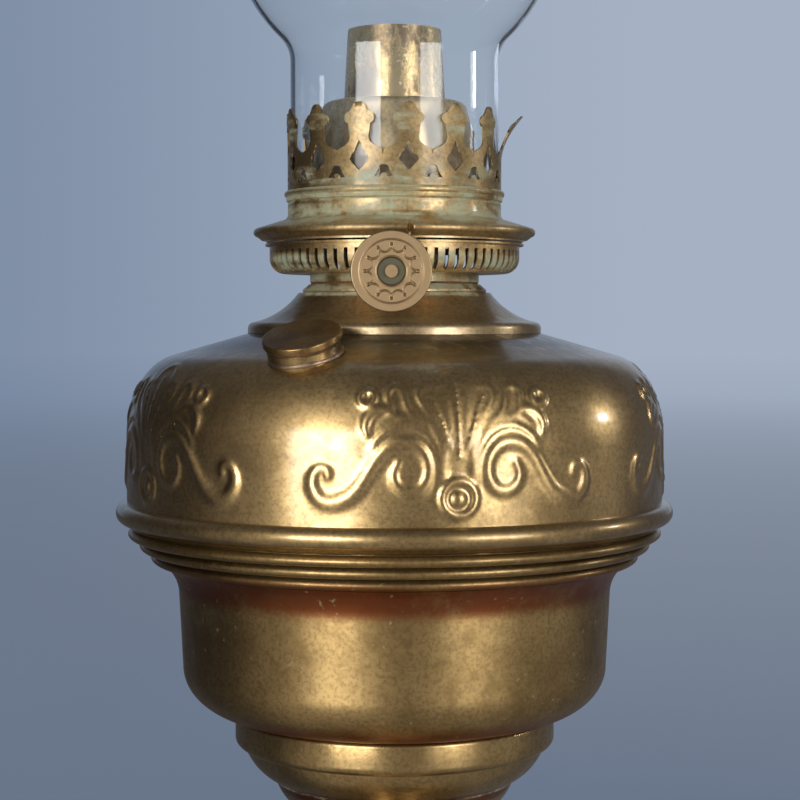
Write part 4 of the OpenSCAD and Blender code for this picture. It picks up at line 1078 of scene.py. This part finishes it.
lip = 0.25
neck_outline = [(filler_bore, -FILLER_IN), (FILLER_R, -FILLER_IN), (FILLER_R, 0.35)]
neck_outline += [(FILLER_R, FILLER_H - lip), (FILLER_R - lip, FILLER_H), (filler_bore, FILLER_H)]
bm = at_filler(turned(neck_outline, 128))
add_piece("filler_collar", bm, font_brass, "stand", ["filler_neck"])

SOLDER_W = 0.45
solder_tilt = Matrix.Rotation(math.atan(DOME_SLOPE) - math.radians(FILLER_TILT), 4, "X")
solder_outline = [(FILLER_R - 0.4, -1), (FILLER_R + SOLDER_W, -0.3)]
solder_outline += bow((FILLER_R + SOLDER_W, 0), (FILLER_R - 0.05, SOLDER_W), -0.9, 6)
solder_outline += [(FILLER_R - 0.4, SOLDER_W)]
bm = turned(solder_outline, 128)
bmesh.ops.transform(bm, matrix=solder_tilt, verts=bm.verts)
uneven(bm, 0.15, 300, 4)
add_piece("solder_bead", at_filler(bm), solder, "stand", [])

washer_top = FILLER_H + WASHER_T - 0.05
washer_outline = flat_ring(filler_bore, FILLER_R - 0.3, FILLER_H, washer_top, 0.12, 0.24)
bm = at_filler(turned(washer_outline, 96))
add_piece("filler_seal", bm, leather, "filler_washer", ["filler_washer"])

cap_z = FILLER_H + WASHER_T
plug_r = filler_bore - 0.3
plug_bore = plug_r - 1.1
cap_under = cap_z + 0.6
cap_top = cap_z + CAP_T
cap_edge = 0.4
cap_outline = [(plug_bore, cap_z - PLUG_L), (plug_r, cap_z - PLUG_L)]
cap_outline += [(plug_r, cap_z), (CAP_R - cap_edge, cap_z)]
cap_outline += arc((CAP_R - cap_edge, cap_z + cap_edge), cap_edge, cap_edge, -80, 0, 5)
cap_outline += arc((CAP_R - cap_edge, cap_top - cap_edge), cap_edge, cap_edge, 0, 88, 6)
cap_outline += [(CAP_R - 1.2, cap_top - 0.08), (CAP_R - 3, cap_top - 0.05), (0, cap_top)]
cap_outline += [(0, cap_under), (plug_bore, cap_under)]
bm = at_filler(turned(cap_outline, 144))
add_piece("filler_lid", bm, cap_brass_tarnish_and_shade, "filler_cap", ["filler_cap"])

# %% [markdown]
# ## Air basket
# Under the gallery sits a basket pierced with upright slots that let air in. A slot could be cut with
# a boolean, but here the turned sheet already has a column of faces wherever a slot goes, so those
# faces are deleted and the sheet gets its thickness afterwards, which also makes the slots' sides. The
# hole for the winder's bush is made in the same way.

# %% Air basket
SHEET = 0.5
SLOT_N, SLOT_COLUMNS, PITCH_COLUMNS = 72, 4, 11
basket_out, basket_low, basket_top = span("air_basket")
BASKET_R, BASKET_BORE, BASKET_CORNER_W, BASKET_CORNER_H = 31.4, 19.2, 3.2, 3.4
BUSH_ROOM = 1.75
SLOT_UP, SLOT_H, SLOT_IN = 0.35, 5.2, 0.8
shaft_place = Vector(joints["knob_turn"]["pos_m"]) / MM
basket_c = (BASKET_R - BASKET_CORNER_W, basket_low + BASKET_CORNER_H)
slot_low, slot_high = basket_low + SLOT_UP, basket_low + SLOT_H
basket_path = [(BASKET_BORE + (basket_c[0] - BASKET_BORE) * i / 12, basket_low) for i in range(12)]
basket_path += arc(basket_c, BASKET_CORNER_W, BASKET_CORNER_H, -90, 0, 14)
basket_path += [(BASKET_R, slot_high), (BASKET_R, basket_top - SHEET), (basket_out, basket_top - SHEET)]
bm = turned(basket_path, SLOT_N * PITCH_COLUMNS, closed=False)
doomed = []
for face in bm.faces:
    middle = face.calc_center_median() / MM
    turn = math.atan2(middle.x, -middle.y) / (2 * math.pi) * SLOT_N + 0.5
    in_slot = abs((turn % 1) - 0.5) < SLOT_COLUMNS / PITCH_COLUMNS / 2
    in_slot &= slot_low < middle.z < slot_high and math.hypot(middle.x, middle.y) > basket_c[0] + SLOT_IN
    aside = math.hypot(middle.x - shaft_place.x, middle.z - shaft_place.z)
    if in_slot or (middle.y < 0 and aside < BUSH_ROOM):
        doomed.append(face)
bmesh.ops.delete(bm, geom=doomed, context="FACES")
bmesh.ops.solidify(bm, geom=bm.faces[:], thickness=SHEET * MM)
bmesh.ops.recalc_face_normals(bm, faces=bm.faces)
add_piece("basket_shell", bm, burner_brass, "burner", ["air_basket"])

# %% [markdown]
# ## Gasket and deflector
# A leather gasket seals the burner on its collar. Inside the gallery a cone guides the air to the
# flame; only its shoulder shows, through the glass.

# %% Gasket and deflector
gasket_r, gasket_low, gasket_top = span("burner_gasket")
gasket_edge = 0.2
gasket_outline = flat_ring(bore_r, gasket_r - gasket_edge, gasket_low, gasket_top, gasket_edge, 0.28)
bm = turned(gasket_outline, 144)
add_piece("burner_seal", bm, leather, "burner_gasket", ["burner_gasket"])

cone_edge_r, cone_low, cone_top = span("deflector_cone")
CONE_FOOT_R, CONE_SHOULDER_R, CONE_ROUND, TUBE_R = 24.6, 18.6, 2.4, 13.0
flange_top = cone_low + SHEET
CONE_LIP_R, CONE_LIP = 31.55, 0.7
CONE_FLARE_IN, CONE_FLARE_H, SHOULDER_OUT, SHOULDER_DOWN = 0.8, 3.2, 1.6, 9
lip_top = flange_top + CONE_LIP
lip_in = CONE_LIP_R - CONE_LIP
cone_skin = [(CONE_FOOT_R, flange_top)]
flare = (CONE_FOOT_R - CONE_FLARE_IN, flange_top + CONE_FLARE_H)
cone_skin += bow(flare, (CONE_SHOULDER_R + SHOULDER_OUT, cone_top - SHOULDER_DOWN), 6, 10)
round_c = (CONE_SHOULDER_R - CONE_ROUND, cone_top - CONE_ROUND)
cone_skin += arc(round_c, CONE_ROUND, CONE_ROUND, 12, 90, 12)
cone_skin += [(TUBE_R, cone_top)]
cone_outline = [(cone_edge_r, cone_low), (cone_edge_r, flange_top), (CONE_LIP_R, flange_top)]
cone_outline += [(CONE_LIP_R, lip_top), (lip_in, lip_top), (lip_in, flange_top)]
cone_outline += shell(cone_skin, SHEET)
bm = turned(cone_outline, 192)
add_piece("cone_shell", bm, soot_brass, "burner", ["deflector_cone"])

# %% [markdown]
# ## Gallery
# The gallery rests on the basket and carries the chimney. Its brim overhangs like a hat's, and the
# neck above it has a groove and a bead. The brim is torn at the front, a small gap that tells of a
# long life, so the points there are pulled in.

# %% Gallery
NECK_OUT, GALLERY_WALL = 27.2, 0.6
BRIM_EDGE_R, BRIM_EDGE_H, BRIM_RISE, BEAD_OUT = 1.05, 1.9, 4.9, 0.9
TEAR_TURN, TEAR_HALF, TEAR_DEPTH = math.radians(2.8), math.radians(1.3), 2.0
HOOK_BORE, HOOK_IN, HOOK_T = 31.8, 2.3, 0.7
NECK_CURVE, INNER_CURVE, BAND_OUT, BAND_H = 1.6, 1.3, 0.4, 0.8
brim_r, gallery_low, crown_z = span("gallery_ring")
rise_z = gallery_low + BRIM_RISE
edge_z = gallery_low + BRIM_EDGE_H
bead_z = crown_z - BEAD_OUT
band_z = bead_z - 2 * BEAD_OUT
hook_r = brim_r - HOOK_IN
gallery_outline = [(HOOK_BORE, gallery_low), (hook_r + 0.3, gallery_low)]
gallery_outline += arc((brim_r - BRIM_EDGE_R, edge_z), BRIM_EDGE_R, BRIM_EDGE_R, -80, 72, 16)
gallery_outline += bow((NECK_OUT + NECK_CURVE, rise_z), (NECK_OUT, rise_z + NECK_CURVE), 0.8, 10)
gallery_outline += [(NECK_OUT, band_z - 0.5), (NECK_OUT - 0.3, band_z - 0.2), (NECK_OUT + 0.3, band_z)]
gallery_outline += [(NECK_OUT + BAND_OUT, band_z + 0.2), (NECK_OUT + BAND_OUT, band_z + BAND_H)]
gallery_outline += arc((NECK_OUT, bead_z), BEAD_OUT, BEAD_OUT, -60, 70, 10)
gallery_outline += [(NECK_OUT, crown_z), (NECK_OUT - GALLERY_WALL, crown_z)]
gallery_outline += [(NECK_OUT - GALLERY_WALL, rise_z + INNER_CURVE)]
gallery_outline += [(NECK_OUT + INNER_CURVE, rise_z - HOOK_T)]
gallery_outline += [(hook_r, edge_z + HOOK_T), (hook_r, gallery_low + HOOK_T)]
gallery_outline += [(HOOK_BORE, gallery_low + HOOK_T)]
bm = turned(gallery_outline, 720)
uneven(bm, 0.14, 60, 7)
for v in bm.verts:
    off = abs(math.atan2(v.co.x, -v.co.y) - TEAR_TURN) / TEAR_HALF
    reach = math.hypot(v.co.x, v.co.y) / MM
    if off < 1 and reach > hook_r + 0.6:
        pull = TEAR_DEPTH * (1 - off) * (reach - hook_r) / (brim_r - hook_r)
        v.co.xy *= 1 - pull / reach
add_piece("gallery_brim", bm, burner_brass, "gallery", ["gallery_ring"])

# %% [markdown]
# ## Crown
# The pierced crown that holds the glass was stamped flat and bent round. Its solid already has the
# right cut-outs, so a copy of that mesh is the start: its loose triangles are merged, level cuts are
# made so that it can bend, the windows are opened a little, and every prong leans a little differently.
# One is bent well outwards.

# %% Crown
PRONG_N = 14
PRONG_TURN = math.radians(4)
BEND_CUTS, FIRM_H = 14, 8
LEAN, LEAN_VARIES, LEAN_POWER = 0.35, 0.8, 1.6
BENT_PRONG, BENT_OUT, BENT_DOWN = 3, 5.5, 1.2
WINDOW_UP, WINDOW_HALF, WINDOW_TALL, WINDOW_OPEN = 6.2, 2.45, 4.7, 0.45
crown_r, crown_low, crown_top = span("gallery_crown")
bm = bmesh.new()
bm.from_mesh(frame["nodes"]["gallery_crown"].data)
bmesh.ops.remove_doubles(bm, verts=bm.verts, dist=1e-6)
for k in range(1, BEND_CUTS):
    level = crown_low + (crown_top - crown_low) * k / BEND_CUTS
    geometry = bm.verts[:] + bm.edges[:] + bm.faces[:]
    bmesh.ops.bisect_plane(bm, geom=geometry, plane_co=(0, 0, level * MM), plane_no=(0, 0, 1))
pitch = 2 * math.pi / PRONG_N
for v in bm.verts:
    turn = math.atan2(v.co.x, -v.co.y) - PRONG_TURN
    prong = round(turn / pitch) % PRONG_N
    beside = (turn - round(turn / pitch) * pitch) * crown_r
    if abs(beside) < WINDOW_HALF and abs(v.co.z / MM - crown_low - WINDOW_UP) < WINDOW_TALL:
        wider = WINDOW_OPEN * math.sin(math.pi * beside / WINDOW_HALF)
        v.co = Matrix.Rotation(wider / crown_r, 3, "Z") @ v.co
    rise = max((v.co.z / MM - crown_low - FIRM_H) / (crown_top - crown_low - FIRM_H), 0)
    lean = LEAN + LEAN_VARIES * noise.noise(Vector((prong * 1.7, 4.1, 0)))
    if prong == BENT_PRONG:
        lean = BENT_OUT
    reach = math.hypot(v.co.x, v.co.y) / MM
    v.co.xy *= 1 + lean * rise ** LEAN_POWER / reach
    if prong == BENT_PRONG:
        v.co.z -= BENT_DOWN * rise ** 2 * MM
bmesh.ops.recalc_face_normals(bm, faces=bm.faces)
add_piece("crown_sheet", bm, crown_brass, "gallery", ["gallery_crown"], 30)

# %% [markdown]
# ## Winder knob
# The knob is a stamped disc: a plain rim, a fine ring, a garland of twelve loops that hang from small
# balls, an inner ring and a sunk middle where the shaft is riveted. The disc is turned with close
# rings, and its face is then raised and sunk by a pattern in radius and angle. Hands keep the raised
# parts bright, so the finish is darker where the face lies deeper.

# %% Winder knob
KNOB_R, KNOB_T, HUB_R, HUB_L, SHAFT_R = 9.6, 1.4, 3.0, 4.4, 1.28
LOOP_N, LOOP_AT, LOOP_R, LOOP_HALF, LOOP_HEIGHT = 12, 6.2, 1.5, 0.22, 0.3
BALL_AT, BALL_R, BALL_HEIGHT = 6.35, 0.42, 0.28
FIELD_R, FIELD_DEPTH = 7.4, 0.1
WELL_R, WELL_DEPTH, WELL_SLOPE = 3.4, 0.55, 0.3
KNOB_RINGS = [(7.5, 0.24, 0.16), (3.55, 0.22, 0.2)]
knob_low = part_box("winder_knob")[0]
knob_joint = joints["knob_turn"]


def worn_knob(face):
    material, bench = new_finish("knob_brass")
    place = bench.place()
    wear = bench.noise(place, 420, 5, 0.6)
    deep = bench.step(bench.split(place, "Y") + wear * 0.0002, face + 0.00025, face + 0.0006)
    bright = bench.mix(wear, srgb(176, 150, 114), srgb(142, 118, 86))
    bench.surface({
        "Base Color": bench.mix(deep, bright, srgb(92, 86, 66)),
        "Metallic": 1 - deep * 0.35,
        "Roughness": 0.46 + deep * 0.2 + (wear - 0.5) * 0.2,
        "Normal": bench.bump(wear, 0.0001, 0.3),
        "Coat Weight": 0.2,
        "Coat Roughness": 0.3,
    })
    return material


def knob_height(radius, turn):
    """How far the knob's face is raised at a radius and a turn, in millimetres."""
    step = 2 * math.pi / LOOP_N
    share = turn / step % 1

    def gap_to(off, at):
        return math.hypot(radius * math.sin(off), radius * math.cos(off) - at)

    height = -FIELD_DEPTH if radius < FIELD_R else 0.0
    for middle, half, top in KNOB_RINGS:
        height += top * max(1 - abs(radius - middle) / half, 0)
    if radius < LOOP_AT + 0.1:
        gap = abs(gap_to((share - 0.5) * step, LOOP_AT) - LOOP_R)
        height += LOOP_HEIGHT * max(1 - (gap / LOOP_HALF) ** 2, 0)
    gap = gap_to(min(share, 1 - share) * step, BALL_AT)
    height += BALL_HEIGHT * max(1 - (gap / BALL_R) ** 2, 0)
    if radius < WELL_R:
        height -= WELL_DEPTH * min((WELL_R - radius) / WELL_SLOPE, 1)
    return height


rim = 0.3
knob_outline = [(SHAFT_R, -HUB_L), (HUB_R, -HUB_L), (HUB_R, 0), (KNOB_R - rim, 0)]
knob_outline += arc((KNOB_R - rim, rim), rim, rim, -80, 0, 5)
knob_outline += arc((KNOB_R - rim, KNOB_T - rim), rim, rim, 0, 90, 5)
rows = 90
face_top = KNOB_R - rim
knob_outline += [(face_top + (SHAFT_R - face_top) * i / rows, KNOB_T) for i in range(1, rows + 1)]
bm = turned(knob_outline, 384)
for v in bm.verts:
    if abs(v.co.z - KNOB_T * MM) < 1e-6:
        radius = math.hypot(v.co.x, v.co.y) / MM
        v.co.z += knob_height(radius, math.atan2(v.co.y, v.co.x)) * MM
to_front = Matrix.Rotation(math.pi / 2, 4, "X")
knob_place = Vector((knob_joint["pos_m"][0], knob_low.y + KNOB_T * MM, knob_joint["pos_m"][2]))
bmesh.ops.transform(bm, matrix=Matrix.Translation(knob_place) @ to_front, verts=bm.verts)
knob_brass = worn_knob(knob_low.y)
add_piece("knob_disc", bm, knob_brass, "knob", ["winder_knob"], 60)

# %% [markdown]
# ## Wick
# The wick is a flat woven band that the burner folds into a tube. It is open at the front, where the
# winder wheels reach in, and closed above. A turned sheet loses the faces of that opening and then
# gets the cotton's thickness, and the burnt edge comes from the finish.

# %% Wick
WICK_OUT, WICK_T, WICK_OPEN = 11.05, 1.5, math.radians(42)
_, wick_low, wick_top = span("wick")
OPENING_TOP, FRAY = 276.48, 0.5
wick_path = [(WICK_OUT, wick_low + (OPENING_TOP - wick_low) * i / 20) for i in range(21)]
wick_path += [(WICK_OUT, OPENING_TOP + (wick_top - OPENING_TOP) * i / 16) for i in range(1, 17)]
bm = turned(wick_path, 180, closed=False)
opening = []
for face in bm.faces:
    middle = face.calc_center_median()
    if middle.z < OPENING_TOP * MM and abs(math.atan2(middle.x, -middle.y)) < WICK_OPEN:
        opening.append(face)
bmesh.ops.delete(bm, geom=opening, context="FACES")
for v in bm.verts:
    if v.co.z > (wick_top - 0.01) * MM:
        v.co.z -= FRAY * MM * (0.5 + noise.noise(v.co * 900))
bmesh.ops.solidify(bm, geom=bm.faces[:], thickness=WICK_T * MM)
bmesh.ops.recalc_face_normals(bm, faces=bm.faces)
add_piece("woven_wick", bm, wick_cotton(wick_top), "wick", ["wick"])

# %% [markdown]
# ## Chimney
# The chimney is blown glass: a straight base, a bulge round the flame and a long tube. It needs a real
# wall, because light bends at both faces, and its cut rims were melted round in a flame.

# %% Chimney
GLASS_T = 1.1
BASE_R, TOP_R, BULGE_R, BULGE_H, BASE_CURVE, TUBE_CURVE = 26.5, 20.5, 42.2, 69.7, 9, 22
_, glass_low, glass_top = span("chimney")
bulge_z = glass_low + BULGE_H


def curve_away(radius, curve):
    """How far above or below the bulge's middle a hollow curve has its own, to touch bulge and tube."""
    return math.sqrt((BULGE_R + curve) ** 2 - (radius + curve) ** 2)


low_c = (BASE_R + BASE_CURVE, bulge_z - curve_away(BASE_R, BASE_CURVE))
high_c = (TOP_R + TUBE_CURVE, bulge_z + curve_away(TOP_R, TUBE_CURVE))
low_turn = math.degrees(math.atan2(low_c[1] - bulge_z, low_c[0]))
high_turn = math.degrees(math.atan2(high_c[1] - bulge_z, high_c[0]))
half_t = GLASS_T / 2
glass_path = [(BASE_R, glass_low + half_t), (BASE_R, (glass_low + low_c[1]) / 2)]
glass_path += arc(low_c, BASE_CURVE, BASE_CURVE, 180, 180 + low_turn, 14)
glass_path += arc((0, bulge_z), BULGE_R, BULGE_R, low_turn, high_turn, 56)
glass_path += arc(high_c, TUBE_CURVE, TUBE_CURVE, 180 + high_turn, 180, 20)
glass_path += [(TOP_R, (high_c[1] + glass_top) / 2), (TOP_R, glass_top - half_t)]
glass_outline = glass_path + arc((TOP_R - half_t, glass_top - half_t), half_t, half_t, 0, 180, 10)[1:-1]
glass_outline += inset(glass_path, GLASS_T)[::-1]
glass_outline += arc((BASE_R - half_t, glass_low + half_t), half_t, half_t, -180, 0, 10)[1:-1]
bm = turned(glass_outline, 256)
uneven(bm, 0.12, 24, 2)
add_piece("glass_chimney", bm, glass, "chimney", ["chimney"])

# %% [markdown]
# ## Finishes for the solids that stay
# The works inside the burner and the foot keep their solids' shapes, which are plain bars, tubes and
# plates on the real lamp too. They only need their finish.

# %% Solids that stay
KEPT = {
    "base_plate": steel, "rod_nut": steel, "rod_washer": steel, "tie_rod": steel, "winder_frame": steel,
    "drive_shaft": knob_brass, "idler_shaft": steel, "foot_weight": iron, "bowl_boss": font_brass,
    "burner_base": burner_brass, "wick_tube": hot_brass, "draught_tube": hot_brass,
    "shaft_bush": burner_brass, "drive_wheel": burner_brass, "idler_wheel": burner_brass,
    "chimney_seat": burner_brass,
}
for name, finish in KEPT.items():
    materials = frame["nodes"][name].data.materials
    materials.clear()
    materials.append(finish)
print("solids that stay:", len(KEPT))
